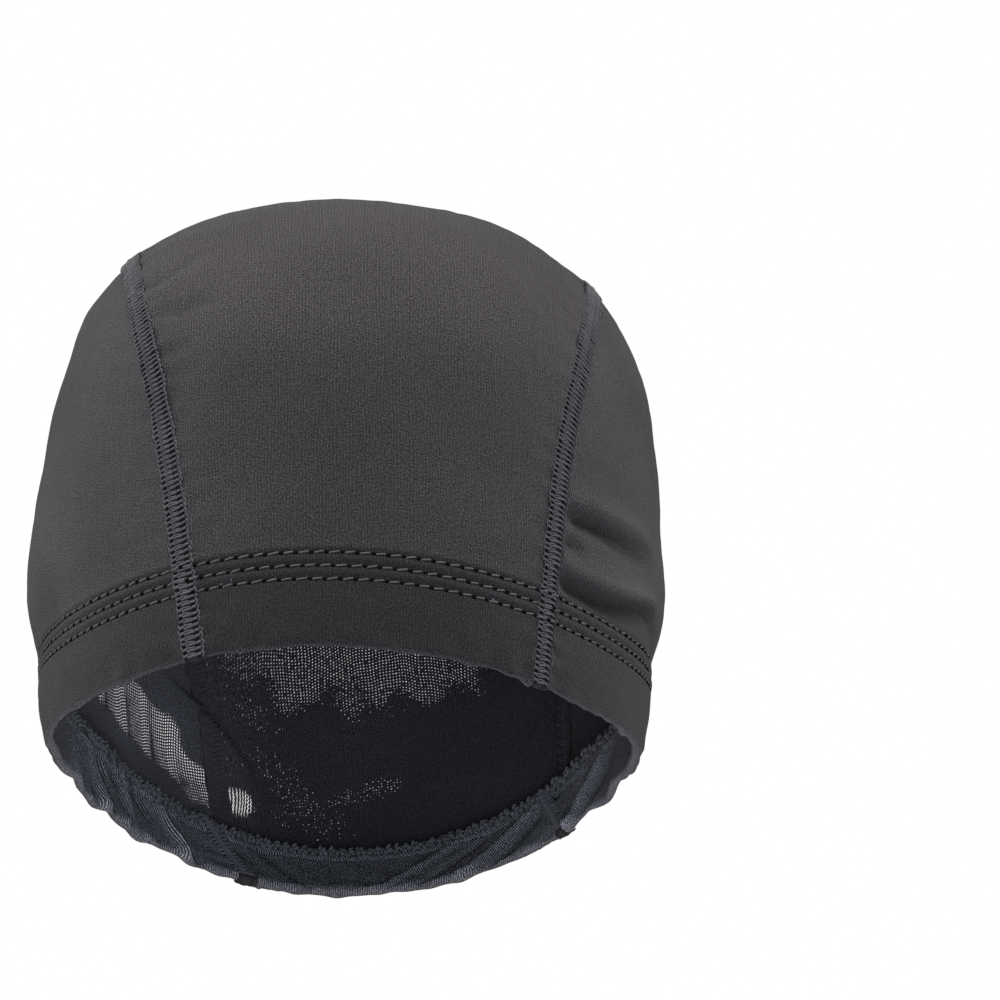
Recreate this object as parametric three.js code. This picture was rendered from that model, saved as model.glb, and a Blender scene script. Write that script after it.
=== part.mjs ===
import * as THREE from 'three';

// Stretch mesh wig cap, in the form that it has on a head.
// Three panels of fine knit are joined by two flat seams that run over the head from brow to nape,
// and the cloth's lower edge is turned up inside as a hem. Millimetres, +Z up, brow towards -Y.
// The origin is the middle of the head opening. A plan angle is 0 at the brow and grows towards +X.

// Sizes of the whole cap
const CAP_WIDTH = 156;
const BROW_REACH = 94.4;
const NAPE_REACH = 102.2;
const WIDEST_HEIGHT = 65.4;
const CROWN_RISE = 70.7;

// Sizes of the cloth, the hem and the seams
const CLOTH = 1.0;
const HEM_DEPTH = 20;
const HEM_GAP = 0.6;
const HEM_DRAG = 8;
const SEAM_WIDTH = 6;
const SEAM_PROUD = 0.4;
const SEAM_CLEARANCE = 0.3;

// Sizes of the dents and folds
const FOLD_DEPTH = 2.6;
const FOLD_HALF_WIDTH = 9;
const RUFFLE_DEPTH = 0.9;

// Roundness of the plan: 2 is an ellipse, and more is squarer
const PLAN_ROUNDNESS = 2.065;

// Upright sections: share drawn in at the opening, how suddenly, and how square the dome above is
const SECTIONS = {
  side: { tuck: 0.092, suddenness: 2.64, dome: 2.72 },
  brow: { tuck: 0.077, suddenness: 2.53, dome: 2.39 },
  nape: { tuck: 0.141, suddenness: 3.87, dome: 2.39 },
};

// Rise and fall of the rim round the opening, in shares of the widest height
const RIM_WAVES = [
  { waves: 1, even: 0.020, skew: 0.002 },
  { waves: 2, even: -0.072, skew: -0.010 },
  { waves: 3, even: 0.045, skew: 0.002 },
  { waves: 4, even: 0.004, skew: 0 },
];

// Seams: degrees out from the middle plane at the brow, over the crown and at the nape
const SEAMS = {
  left: { brow: -17, crown: -42, nape: -15 },
  right: { brow: 26.5, crown: 46, nape: 35 },
};

// Degrees turned about the left-right axis, from level at the brow, where a seam's run begins and ends
const SEAM_RUN = { start: -40, end: 222 };

// Share of each seam, at its brow end and at its nape end, that borders the front or back of a side panel
const SEAM_CORNER = 0.27;

// Dents and folds. Plan angles in degrees, heights in shares of the widest height,
// width and rise in shares of the fold's named half width and depth. A fall has a rise below 0.
const FOLDS = [
  { name: 'upper valley by the right seam', from: [41, 0.57], to: [66, 0.61], width: 0.55, rise: -0.75 },
  { name: 'ridge by the right seam', from: [43, 0.45], to: [76, 0.56], width: 0.45, rise: 0.5 },
  { name: 'lower valley by the right seam', from: [40, 0.35], to: [76, 0.44], width: 0.4, rise: -0.95 },
  { name: 'nip over the right hem', from: [72, 0.4], to: [108, 0.41], width: 0.8, rise: -0.6 },
  { name: 'full right side', from: [74, 0.66], to: [92, 0.68], width: 0.9, rise: 0.3 },
  { name: 'flat right side', from: [62, 1.15], to: [104, 1.15], width: 1.9, rise: -0.4 },
  { name: 'flat left shoulder', from: [-60, 1.36], to: [-112, 1.36], width: 2.6, rise: -0.85 },
  { name: 'full left shoulder seam', from: [-36, 1.78], to: [-62, 1.62], width: 1.2, rise: 0.4 },
  { name: 'full left side', from: [-62, 0.66], to: [-86, 0.66], width: 1.7, rise: 0.4 },
  { name: 'nip over the left hem', from: [-58, 0.36], to: [-104, 0.37], width: 0.8, rise: -0.6 },
  { name: 'pleat by the left nape seam', from: [-150, -0.1], to: [-136, 0.18], width: 0.32, rise: -0.7 },
  { name: 'dent over the left nape hem', from: [-118, 0.34], to: [-150, 0.3], width: 0.7, rise: -0.5 },
  { name: 'dent over the right nape hem', from: [112, 0.36], to: [134, 0.33], width: 0.7, rise: -0.5 },
];

// Ruffles in the hem: where they start and end, how many, and their depth in shares of the named one
const RUFFLES = [
  { fromPlan: -156, toPlan: -92, waves: 4, depth: 1 },
  { fromPlan: 98, toPlan: 140, waves: 2.5, depth: 0.8 },
];

// Counts of faces: up a side panel, along its length, across the centre panel and a seam, and in the hem
const FACES = { sideUp: 12, sideAlong: 28, centre: 12, seam: 2, hem: 3, fold: 3 };
const ROW_GRADING = 1.35;

const KNIT = { color: 0x4b484b, roughness: 0.85, metalness: 0 };
const THREAD = { color: 0x37363c, roughness: 0.9, metalness: 0 };

// Working values: search depth, the nudges that measure slopes, and where a seam meets the hem
const DEGREE = Math.PI / 180;
const HALVINGS = 34;
const NUDGE = 0.5 * DEGREE;
const SEAM_NUDGE = 0.004;
const SEAM_FOOT = { from: -0.08, to: 0.3 };
const CENTRE = new THREE.Vector3(0, 0, WIDEST_HEIGHT);
const FOLD_RADIUS = CLOTH + HEM_GAP / 2;
const BESIDE_SEAM = SEAM_WIDTH / 2 + SEAM_CLEARANCE;

const mix = (a, b, share) => a + (b - a) * share;
const planOf = (point) => Math.atan2(point.x, -point.y);

// Finds where a quantity that grows from low to high crosses zero
function crossing(low, high, quantity) {
  for (let i = 0; i < HALVINGS; i++) {
    const middle = (low + high) / 2;
    if (quantity(middle) < 0) low = middle;
    else high = middle;
  }
  return (low + high) / 2;
}

// The bare body: reach of the widest level, and of the wall at any height
function planReach(plan) {
  const across = Math.abs(Math.sin(plan)) / (CAP_WIDTH / 2);
  const along = Math.cos(plan) > 0 ? Math.cos(plan) / BROW_REACH : -Math.cos(plan) / NAPE_REACH;
  return (across ** PLAN_ROUNDNESS + along ** PLAN_ROUNDNESS) ** (-1 / PLAN_ROUNDNESS);
}

function shareLeft(plan, height) {
  const end = Math.cos(plan) > 0 ? SECTIONS.brow : SECTIONS.nape;
  const sideways = Math.sin(plan) ** 2;
  const depth = Math.max(0, 1 - height / WIDEST_HEIGHT);
  const sideTuck = SECTIONS.side.tuck * depth ** SECTIONS.side.suddenness;
  const endTuck = end.tuck * depth ** end.suddenness;
  return 1 - mix(endTuck, sideTuck, sideways);
}

function lowWallReach(plan, height) {
  return planReach(plan) * shareLeft(plan, height);
}

// Distance from the centre to the bare body in a direction
function bodyDistance(direction) {
  const plan = planOf(direction);
  const level = Math.hypot(direction.x, direction.y);
  if (direction.z < 0) {
    const beyond = (distance) => (
      distance * level - lowWallReach(plan, WIDEST_HEIGHT + distance * direction.z)
    );
    return crossing(0, 2 * NAPE_REACH, beyond);
  }
  const end = Math.cos(plan) > 0 ? SECTIONS.brow : SECTIONS.nape;
  const dome = mix(end.dome, SECTIONS.side.dome, Math.sin(plan) ** 2);
  return ((level / planReach(plan)) ** dome + (direction.z / CROWN_RISE) ** dome) ** (-1 / dome);
}

function rimHeight(plan) {
  let share = 0;
  for (const wave of RIM_WAVES) {
    share += wave.even * Math.cos(wave.waves * plan) + wave.skew * Math.sin(wave.waves * plan);
  }
  return share * WIDEST_HEIGHT;
}

// How much of a length along the hem's wall goes upwards, since the wall leans
function hemUprightness(plan) {
  const rim = rimHeight(plan);
  const lean = lowWallReach(plan, rim + HEM_DEPTH) - lowWallReach(plan, rim);
  return HEM_DEPTH / Math.hypot(HEM_DEPTH, lean);
}

// Dents, folds and ruffles, as a rise of the cloth at a place on the bare body
function foldRise(fold, plan, height, reach) {
  const start = [fold.from[0] * DEGREE * reach, fold.from[1] * WIDEST_HEIGHT];
  const run = [fold.to[0] * DEGREE * reach - start[0], fold.to[1] * WIDEST_HEIGHT - start[1]];
  const place = [plan * reach - start[0], height - start[1]];
  const share = (place[0] * run[0] + place[1] * run[1]) / (run[0] ** 2 + run[1] ** 2);
  const held = Math.min(1, Math.max(0, share));
  const apart = Math.hypot(place[0] - held * run[0], place[1] - held * run[1]);
  return fold.rise * FOLD_DEPTH * Math.exp(-((apart / (fold.width * FOLD_HALF_WIDTH)) ** 2));
}

function ruffleRise(ruffle, plan, height) {
  const share = (plan / DEGREE - ruffle.fromPlan) / (ruffle.toPlan - ruffle.fromPlan);
  if (share <= 0 || share >= 1) return 0;
  const swing = Math.sin(2 * Math.PI * ruffle.waves * share) * Math.sin(Math.PI * share);
  const fade = Math.exp(-(((height - rimHeight(plan)) / HEM_DEPTH) ** 2));
  return ruffle.depth * RUFFLE_DEPTH * swing * fade;
}

// A point on the outer face of the cloth, in a direction from the centre
function clothPoint(direction) {
  const distance = bodyDistance(direction);
  const bare = direction.clone().multiplyScalar(distance).add(CENTRE);
  const plan = planOf(bare);
  const reach = Math.hypot(bare.x, bare.y);
  let rise = 0;
  for (const fold of FOLDS) rise += foldRise(fold, plan, bare.z, reach);
  for (const ruffle of RUFFLES) rise += ruffleRise(ruffle, plan, bare.z);
  return direction.clone().multiplyScalar(distance + rise).add(CENTRE);
}

// A place on the cloth: its point, and the way that its outer face looks
function clothPlace(direction) {
  const steep = Math.abs(direction.z) > Math.abs(direction.y);
  const helper = steep ? new THREE.Vector3(0, 1, 0) : new THREE.Vector3(0, 0, 1);
  const across = new THREE.Vector3().crossVectors(helper, direction).normalize();
  const up = new THREE.Vector3().crossVectors(direction, across);
  const nudged = (way, amount) => clothPoint(direction.clone().addScaledVector(way, amount).normalize());
  const alongAcross = nudged(across, NUDGE).sub(nudged(across, -NUDGE));
  const alongUp = nudged(up, NUDGE).sub(nudged(up, -NUDGE));
  return { point: clothPoint(direction), out: alongAcross.cross(alongUp).normalize() };
}

// The direction of a place on the hem, given its plan angle and its length up from the rim
function hemDirection(plan, length) {
  const height = rimHeight(plan) + length * hemUprightness(plan);
  const reach = lowWallReach(plan, height);
  const point = new THREE.Vector3(reach * Math.sin(plan), -reach * Math.cos(plan), height);
  return point.sub(CENTRE).normalize();
}

// Seams
function seamDirection(seam, share) {
  const turn = mix(SEAM_RUN.start, SEAM_RUN.end, share) * DEGREE;
  const foot = mix(seam.brow, seam.nape, share);
  const shift = (seam.crown - foot) * Math.sin(Math.PI * share);
  const out = (foot + shift) * DEGREE;
  return new THREE.Vector3(
    Math.sin(out),
    -Math.cos(out) * Math.cos(turn),
    Math.cos(out) * Math.sin(turn),
  );
}

// The direction of a place beside a seam's middle line, by an offset towards +X
function besideSeam(seam, share, offset) {
  const place = clothPlace(seamDirection(seam, share));
  const ahead = clothPoint(seamDirection(seam, share + SEAM_NUDGE));
  const along = ahead.sub(clothPoint(seamDirection(seam, share - SEAM_NUDGE))).normalize();
  const towardsX = along.cross(place.out).normalize();
  return place.point.addScaledVector(towardsX, offset).sub(CENTRE).normalize();
}

// The share of a seam's run where it stands a length above the rim, at its brow end or nape end
function seamShareAt(seam, length, atNape) {
  const above = (share) => {
    const point = clothPoint(seamDirection(seam, atNape ? 1 - share : share));
    const plan = planOf(point);
    return (point.z - rimHeight(plan)) / hemUprightness(plan) - length;
  };
  const share = crossing(SEAM_FOOT.from, SEAM_FOOT.to, above);
  return atNape ? 1 - share : share;
}

// The plan angle beside a seam, where it stands a length above the rim
function seamPlanAt(seam, length, offset, atNape) {
  const share = seamShareAt(seam, length, atNape);
  return planOf(besideSeam(seam, share, offset));
}

// Shares of the way from hem to hem at which both seams and all panels have their rows
function rowShares() {
  const shares = [];
  const { sideUp, sideAlong } = FACES;
  const graded = (i) => SEAM_CORNER * (i / sideUp) ** ROW_GRADING;
  for (let i = 0; i < sideUp; i++) shares.push(graded(i));
  for (let i = 0; i < sideAlong; i++) shares.push(mix(SEAM_CORNER, 1 - SEAM_CORNER, i / sideAlong));
  for (let i = sideUp; i >= 0; i--) shares.push(1 - graded(i));
  return shares;
}

const ROWS = rowShares();
const HEM_TOP = HEM_DEPTH + SEAM_WIDTH / 2;

// Directions along a line beside a seam, from the top of the brow hem to the top of the nape hem
function seamLine(seam, offset) {
  const first = seamShareAt(seam, HEM_TOP, false);
  const last = seamShareAt(seam, HEM_TOP, true);
  const line = ROWS.map((share) => besideSeam(seam, mix(first, last, share), offset));
  line[0] = hemDirection(seamPlanAt(seam, HEM_TOP, offset, false), HEM_TOP);
  line[line.length - 1] = hemDirection(seamPlanAt(seam, HEM_TOP, offset, true), HEM_TOP);
  return line;
}

// The turned-up hem: rows of places from its raw edge inside, down, round the rim and up the wall.
// plansAt gives the columns' plan angles at a length above the rim. The part inside is dragged
// round the opening, most at its raw edge.
function hemRows(plansAt) {
  const rows = [];
  const addRow = (length, change, drag = 0) => {
    const placeAt = (plan) => clothPlace(hemDirection(plan + drag / planReach(plan), length));
    rows.push(plansAt(length).map((plan) => change(placeAt(plan))));
  };
  for (let i = 0; i < FACES.hem; i++) {
    const length = mix(HEM_DEPTH, FOLD_RADIUS, i / FACES.hem);
    addRow(length, ({ point, out }) => ({
      point: point.addScaledVector(out, -2 * FOLD_RADIUS),
      out: out.negate(),
    }), HEM_DRAG * (1 - i / FACES.hem));
  }
  for (let i = 0; i < FACES.fold; i++) {
    const turn = Math.PI * (1 - i / FACES.fold);
    addRow(FOLD_RADIUS, ({ point, out }) => {
      const up = new THREE.Vector3(0, 0, 1).addScaledVector(out, -out.z).normalize();
      const facing = out.clone().multiplyScalar(Math.cos(turn)).addScaledVector(up, -Math.sin(turn));
      const middle = point.addScaledVector(out, -FOLD_RADIUS);
      return { point: middle.addScaledVector(facing, FOLD_RADIUS), out: facing };
    });
  }
  for (let i = 0; i <= FACES.hem; i++) {
    addRow(mix(FOLD_RADIUS, HEM_DEPTH, i / FACES.hem), (place) => place);
  }
  return rows;
}

// A closed solid of cloth from rows of places. Its columns run rightwards as seen from outside.
function clothSolid(rows, proud) {
  const height = rows.length;
  const width = rows[0].length;
  const corners = [];
  for (const depth of [proud, -CLOTH]) {
    for (const { point, out } of rows.flat()) corners.push(...point.clone().addScaledVector(out, depth));
  }
  const faces = [];
  const quad = (a, b, c, d) => faces.push(a, b, c, a, c, d);
  const outer = (row, column) => row * width + column;
  const inner = (row, column) => height * width + row * width + column;
  for (let r = 0; r < height - 1; r++) {
    for (let c = 0; c < width - 1; c++) {
      quad(outer(r, c), outer(r, c + 1), outer(r + 1, c + 1), outer(r + 1, c));
      quad(inner(r, c), inner(r + 1, c), inner(r + 1, c + 1), inner(r, c + 1));
    }
    quad(outer(r, 0), outer(r + 1, 0), inner(r + 1, 0), inner(r, 0));
    quad(outer(r, width - 1), inner(r, width - 1), inner(r + 1, width - 1), outer(r + 1, width - 1));
  }
  for (let c = 0; c < width - 1; c++) {
    quad(outer(0, c), inner(0, c), inner(0, c + 1), outer(0, c + 1));
    quad(outer(height - 1, c), outer(height - 1, c + 1), inner(height - 1, c + 1), inner(height - 1, c));
  }
  const geometry = new THREE.BufferGeometry();
  geometry.setAttribute('position', new THREE.Float32BufferAttribute(corners, 3));
  geometry.setIndex(faces);
  geometry.computeVertexNormals();
  return geometry;
}

// A four-sided patch: its inside follows its four edges, each a list of flat coordinates
function patch(bottom, top, left, right, upShares) {
  const rows = [];
  const last = bottom.length - 1;
  for (let r = 0; r < left.length; r++) {
    const up = upShares[r];
    const row = [];
    for (let c = 0; c <= last; c++) {
      const over = c / last;
      const between = (axis) => (
        mix(left[r][axis], right[r][axis], over) + mix(bottom[c][axis], top[c][axis], up)
        - mix(mix(bottom[0][axis], bottom[last][axis], over), mix(top[0][axis], top[last][axis], over), up)
      );
      row.push([between(0), between(1)]);
    }
    rows.push(row);
  }
  return rows;
}

// Directions as flat coordinates: turn and sideways angle for the centre, a disc for a side
const toStrip = (direction) => {
  const turn = Math.atan2(direction.z, -direction.y);
  return [turn < -Math.PI / 2 ? turn + 2 * Math.PI : turn, Math.asin(direction.x)];
};

const fromStrip = ([turn, out]) => new THREE.Vector3(
  Math.sin(out),
  -Math.cos(out) * Math.cos(turn),
  Math.cos(out) * Math.sin(turn),
);

const toDisc = (direction, side) => {
  const spread = Math.acos(side * direction.x);
  const turn = Math.atan2(direction.z, -direction.y);
  return [spread * Math.cos(turn), spread * Math.sin(turn)];
};

const fromDisc = ([ahead, up], side) => {
  const spread = Math.hypot(ahead, up);
  const turn = Math.atan2(up, ahead);
  return new THREE.Vector3(
    side * Math.cos(spread),
    -Math.sin(spread) * Math.cos(turn),
    Math.sin(spread) * Math.sin(turn),
  );
};

// Evenly spaced values from one to another, both included
function spread(from, to, parts) {
  const values = [];
  for (let i = 0; i <= parts; i++) values.push(mix(from, to, i / parts));
  return values;
}

// Directions along the top of the hem
const hemLine = (plansAt) => plansAt(HEM_TOP).map((plan) => hemDirection(plan, HEM_TOP));

function mesh(name, rows, proud, finish) {
  const made = new THREE.Mesh(clothSolid(rows, proud), new THREE.MeshStandardMaterial(finish));
  made.name = name;
  return made;
}

// The panel over the head from brow to nape, with a hem at both ends
function centrePanel() {
  const { left, right } = SEAMS;
  const plansAt = (atNape) => (length) => {
    const from = seamPlanAt(left, length, BESIDE_SEAM, atNape);
    const to = seamPlanAt(right, length, -BESIDE_SEAM, atNape);
    return spread(atNape ? from + 2 * Math.PI : from, to, FACES.centre);
  };
  const flat = patch(
    hemLine(plansAt(false)).map(toStrip),
    hemLine(plansAt(true)).map(toStrip),
    seamLine(left, BESIDE_SEAM).map(toStrip),
    seamLine(right, -BESIDE_SEAM).map(toStrip),
    ROWS,
  );
  const over = flat.map((row) => row.map((spot) => clothPlace(fromStrip(spot))));
  const rows = [...hemRows(plansAt(false)), ...over, ...hemRows(plansAt(true)).reverse()];
  return mesh('centre_panel', rows, 0, KNIT);
}

// A panel at the side of the head. Its columns run rightwards as seen from its own side.
function sidePanel(name, side) {
  const seam = side > 0 ? SEAMS.right : SEAMS.left;
  const { sideUp, sideAlong } = FACES;
  const plansAt = (length) => {
    const brow = seamPlanAt(seam, length, side * BESIDE_SEAM, false);
    const nape = seamPlanAt(seam, length, side * BESIDE_SEAM, true);
    return side > 0 ? spread(brow, nape, sideAlong) : spread(nape, brow, sideAlong);
  };
  const line = seamLine(seam, side * BESIDE_SEAM).map((direction) => toDisc(direction, side));
  const brow = line.slice(0, sideUp + 1);
  const crown = line.slice(sideUp, sideUp + sideAlong + 1);
  const nape = line.slice(sideUp + sideAlong).reverse();
  const flat = patch(
    hemLine(plansAt).map((direction) => toDisc(direction, side)),
    side > 0 ? crown : crown.reverse(),
    side > 0 ? brow : nape,
    side > 0 ? nape : brow,
    spread(0, 1, sideUp).map((share) => share ** ROW_GRADING),
  );
  const wall = flat.map((row) => row.map((spot) => clothPlace(fromDisc(spot, side))));
  return mesh(name, [...hemRows(plansAt), ...wall], 0, KNIT);
}

// A flat seam: a band of close thread, a little proud of the cloth, turned up with the hem at both ends
function seamBand(name, seam) {
  const offsets = spread(-SEAM_WIDTH / 2, SEAM_WIDTH / 2, FACES.seam);
  const lines = offsets.map((offset) => seamLine(seam, offset));
  const over = ROWS.map((share, row) => lines.map((line) => clothPlace(line[row])));
  const hemAt = (atNape) => hemRows((length) => (
    offsets.map((offset) => seamPlanAt(seam, length, offset, atNape))
  ));
  return mesh(name, [...hemAt(false), ...over, ...hemAt(true).reverse()], SEAM_PROUD, THREAD);
}

const cap = new THREE.Group();
cap.add(centrePanel());
cap.add(sidePanel('left_panel', -1));
cap.add(sidePanel('right_panel', 1));
cap.add(seamBand('left_seam', SEAMS.left));
cap.add(seamBand('right_seam', SEAMS.right));

export default cap;
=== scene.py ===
"""Looks of the mesh wig cap: knit panels with a turned-up hem, flat seams, cover stitches and a stage.

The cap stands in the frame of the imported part: +Z up, brow towards -Y, the origin in the middle of
the head opening. Shapes are worked out in millimetres and written to the meshes in metres.
"""

import math

import bpy
import numpy as np
from bpy.props import FloatProperty, FloatVectorProperty, IntProperty, PointerProperty
from mathutils import Matrix, Vector


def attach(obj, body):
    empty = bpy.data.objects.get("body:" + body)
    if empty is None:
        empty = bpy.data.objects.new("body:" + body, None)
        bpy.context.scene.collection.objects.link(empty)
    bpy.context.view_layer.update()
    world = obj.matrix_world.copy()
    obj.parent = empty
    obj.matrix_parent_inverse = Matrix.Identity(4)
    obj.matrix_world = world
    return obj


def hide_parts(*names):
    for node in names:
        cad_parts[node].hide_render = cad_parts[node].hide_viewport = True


bl_info = {
    "name": "Mesh Wig Cap",
    "version": (1, 0, 0),
    "blender": (4, 5, 0),
    "location": "View3D > Sidebar > Wig Cap",
    "description": "Knit panels, flat seams, hem stitches and a stage for the mesh wig cap",
    "category": "Object",
}

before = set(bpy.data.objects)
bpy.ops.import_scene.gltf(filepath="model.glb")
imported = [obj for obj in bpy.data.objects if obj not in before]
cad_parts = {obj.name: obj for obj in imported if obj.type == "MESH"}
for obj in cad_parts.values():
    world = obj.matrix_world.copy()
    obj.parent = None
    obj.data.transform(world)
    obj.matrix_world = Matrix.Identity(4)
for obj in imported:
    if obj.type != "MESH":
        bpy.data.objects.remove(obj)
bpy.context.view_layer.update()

MM = 0.001
DEGREE = math.pi / 180
ROOT = "root"
KNIT_SLOT = "mesh_knit"
THREAD_SLOT = "sewing_thread"

# Body of the cap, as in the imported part
CAP_WIDTH = 156.0
BROW_REACH = 94.4
NAPE_REACH = 102.2
WIDEST_HEIGHT = 65.4
CROWN_RISE = 70.7
PLAN_ROUNDNESS = 2.065
SECTIONS = {
    "side": {"tuck": 0.092, "suddenness": 2.64, "dome": 2.72},
    "brow": {"tuck": 0.077, "suddenness": 2.53, "dome": 2.39},
    "nape": {"tuck": 0.141, "suddenness": 3.87, "dome": 2.39},
}
RIM_WAVES = (
    {"waves": 1, "even": 0.020, "skew": 0.002},
    {"waves": 2, "even": -0.072, "skew": -0.010},
    {"waves": 3, "even": 0.045, "skew": 0.002},
    {"waves": 4, "even": 0.004, "skew": 0.0},
)
SEAMS = {
    "left": {"brow": -17.0, "crown": -42.0, "nape": -15.0},
    "right": {"brow": 26.5, "crown": 46.0, "nape": 35.0},
}
SEAM_RUN = {"start": -40.0, "end": 222.0}
SEAM_CORNER = 0.27
SEAM_FOOT = (-0.08, 0.3)
SEAM_WIDTH = 6.0
HEM_DEPTH = 20.0
HEM_DRAG = 8.0
HEM_TOP = HEM_DEPTH + SEAM_WIDTH / 2

# Dents and folds, each a half width in millimetres and a line of points: plan angle in degrees, height
# in shares of the widest one, rise in millimetres
FOLDS = (
    (2.0, ((35.6, 0.593, -1.6), (39, 0.584, -3.6), (47.8, 0.593, -3.4), (57.8, 0.625, -2.3),
        (67, 0.65, 0))),
    (3.0, ((36.5, 0.65, 1.1), (47.6, 0.665, 1.9), (60, 0.7, 1.2), (67, 0.73, 0))),
    (1.5, ((35.7, 0.481, -1.9), (37.5, 0.478, -1.9), (40, 0.455, 0))),
    (4.5, ((37, 0.43, 0.7), (48.5, 0.45, 1.2), (58, 0.484, 1.2), (70, 0.53, 0))),
    (2.5, ((36, 0.39, 1.0), (46, 0.404, 1.9), (52.7, 0.427, 2.2), (60, 0.468, 2.2),
        (67, 0.503, 1.7), (77, 0.52, 0))),
    (1.9, ((34.5, 0.353, -1.4), (37.8, 0.335, -4.0), (44.9, 0.33, -4.5), (49.7, 0.345, -4.2),
        (55, 0.38, -3.7), (61.8, 0.428, -3.0), (68.4, 0.457, -2.6), (77, 0.475, -1.8), (86, 0.44, 0))),
    (1.5, ((-34.5, 1.452, -1.1), (-31.6, 1.453, -1.5), (-29.5, 1.455, -1.1), (-25.3, 1.525, -0.7),
        (-20, 1.545, 0))),
    (1.6, ((-34, 1.42, 0.45), (-29, 1.424, 0.6), (-24, 1.434, 0.45), (-18, 1.465, 0))),
    (1.8, ((-31, 1.33, 0), (-28.5, 1.3, -1.1), (-25, 1.277, -1.3), (-22, 1.294, -0.9),
        (-17, 1.305, 0))),
    (1.5, ((-29.5, 1.2, -0.3), (-26, 1.197, -0.25), (-21, 1.2, 0))),
    (1.4, ((-28, 1.126, -0.9), (-24.9, 1.12, -1.0), (-21.5, 1.128, 0))),
    (1.4, ((-27.5, 1.02, -0.5), (-23.9, 1.023, -0.5), (-20.5, 1.032, 0))),
    (2.0, ((-40.5, 1.637, 0.4), (-36.5, 1.673, 0.75), (-31.7, 1.671, 0.75), (-22.8, 1.675, 0.5),
        (-14, 1.68, 0))),
    (7.2, ((66, 0.4, 0), (76, 0.4, -1.5), (108, 0.41, -1.56))),
    (8.1, ((74, 0.66, 0.78), (92, 0.68, 0.78))),
    (17.1, ((62, 1.15, -1.04), (104, 1.15, -1.04))),
    (23.4, ((-60, 1.36, -2.2), (-112, 1.36, -2.2))),
    (10.8, ((-36, 1.78, 1.04), (-62, 1.62, 1.04))),
    (15.3, ((-62, 0.66, 1.04), (-86, 0.66, 1.04))),
    (7.2, ((-58, 0.36, -1.56), (-104, 0.37, -1.56))),
    (6.3, ((-118, 0.34, -1.3), (-150, 0.3, -1.3))),
    (6.3, ((112, 0.36, -1.3), (134, 0.33, -1.3))),
)
# The slack of the left wall that laps inwards: soft on its left side and sharp on its right
LAP = {
    "line": (
        (-145.3, 0.82, 0), (-150, 0.75, -1.6), (-154, 0.694, -2.2), (-160.7, 0.55, -2.4),
        (-163.4, 0.45, -2.2), (-164.7, 0.34, -1.6),
    ),
    "width": 10.0,
    "edge": 0.9,
}
# Pleats of the turned-up cloth: plan angle at the rim, slant over the hem's depth, half width, rise
LEAF_PLEATS = (
    (-118, 4, 1.4, -0.9),
    (-125, 4, 2.0, 1.2),
    (-128.2, 4.4, 1.3, -1.3),
    (-134, 5, 1.4, -1.1),
    (-137, 5, 2.2, 1.0),
    (-141.5, 5.5, 1.3, -1.1),
    (-147.6, 6.5, 2.0, 1.7),
    (-150.7, 6.5, 1.2, -1.7),
    (128, -14, 2.6, -1.1),
    (133, -14, 2.6, 1.3),
    (139, -14, 2.4, -1.1),
    (152, -16, 2.8, -1.2),
    (158, -16, 2.8, 1.2),
    (166, -16, 2.4, -1.0),
    (174, -16, 2.6, 0.9),
    (-172, 10, 2.4, -0.8),
)
# Ruffles of the hem's rim, between plan angles
RUFFLES = (
    {"start": -156.0, "end": -92.0, "waves": 4.0, "depth": 0.7},
    {"start": -158.0, "end": -100.0, "waves": 8.5, "depth": 0.45},
    {"start": 98.0, "end": 140.0, "waves": 2.5, "depth": 0.72},
)

# Lines along which the stretched knit opens: as folds, with how far it opens in place of the rise. Below
# a half, only some of its holes show
THIN_LINES = (
    (9.0, ((-133, 0.66, 0.95), (-146, 0.51, 0.95))),
    (5.5, ((-146, 0.51, 0.95), (-155, 0.36, 0.9))),
    (4.6, ((-153, 0.33, 0.9), (-161.5, 0.31, 0.9))),
    (17.0, ((-156, 1.02, 0.54), (-172, 1.04, 0.62), (-186, 1.04, 0.62), (-198, 1.06, 0.58))),
    (8.0, ((-157, 0.82, 0.46), (-164, 0.74, 0.44))),
    (8.0, ((-157, 0.62, 0.36), (-168, 0.46, 0.4), (-176, 0.26, 0.4))),
    (3.0, ((-172, 0.32, 0.48), (-187, 0.46, 0.5))),
)
# Painted shading on the knit's tone: painted shade low in front and on the hem, most in front, painted
# shade on the hollow's wall with painted light at its left, and painted shade in valleys with painted
# light on ridges. The heights in shares of the widest one between which the shade low in front fades,
# how much darker it is low in front, the hem's tone at the back and in front, the tone of the hollow's
# wall elsewhere and at its left, where the knit is thinnest, how much darker a fold is in its valleys
# and lighter on its ridges for each millimetre of its rise, the rises between which that is held, and
# how much darker or lighter a pleat of the turned-up cloth is for each millimetre of its rise
PAINTED_SHADING = {
    "heights": (0.9, 1.25),
    "front_fall": 0.3,
    "hem_tones": (0.82, 0.54),
    "inner_tones": (0.42, 1.35),
    "left_wall": (0.15, 0.75),
    "valley_fall": 0.11,
    "valleys": (-4, 3),
    "pleat_fall": 0.25,
}
# The edge round which a line opens: ragged by waves, and softer where it opens less
THIN_EDGE = {"wave": 12, "ragged": 0.35, "full": 1.25, "soft": (0.3, 0.75), "end": 1.2}
# Painted glow round the rim of the turned-up cloth, for light that comes through the mesh there: its
# gain, its half width in millimetres from the rim, and the least share turned in where it shows
RIM_PAINTED_GLOW = {"gain": 0.35, "half_width": 1.2, "inside": 0.2}
UNEVEN_TONE = {"wave": 34, "share": 0.05}

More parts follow.
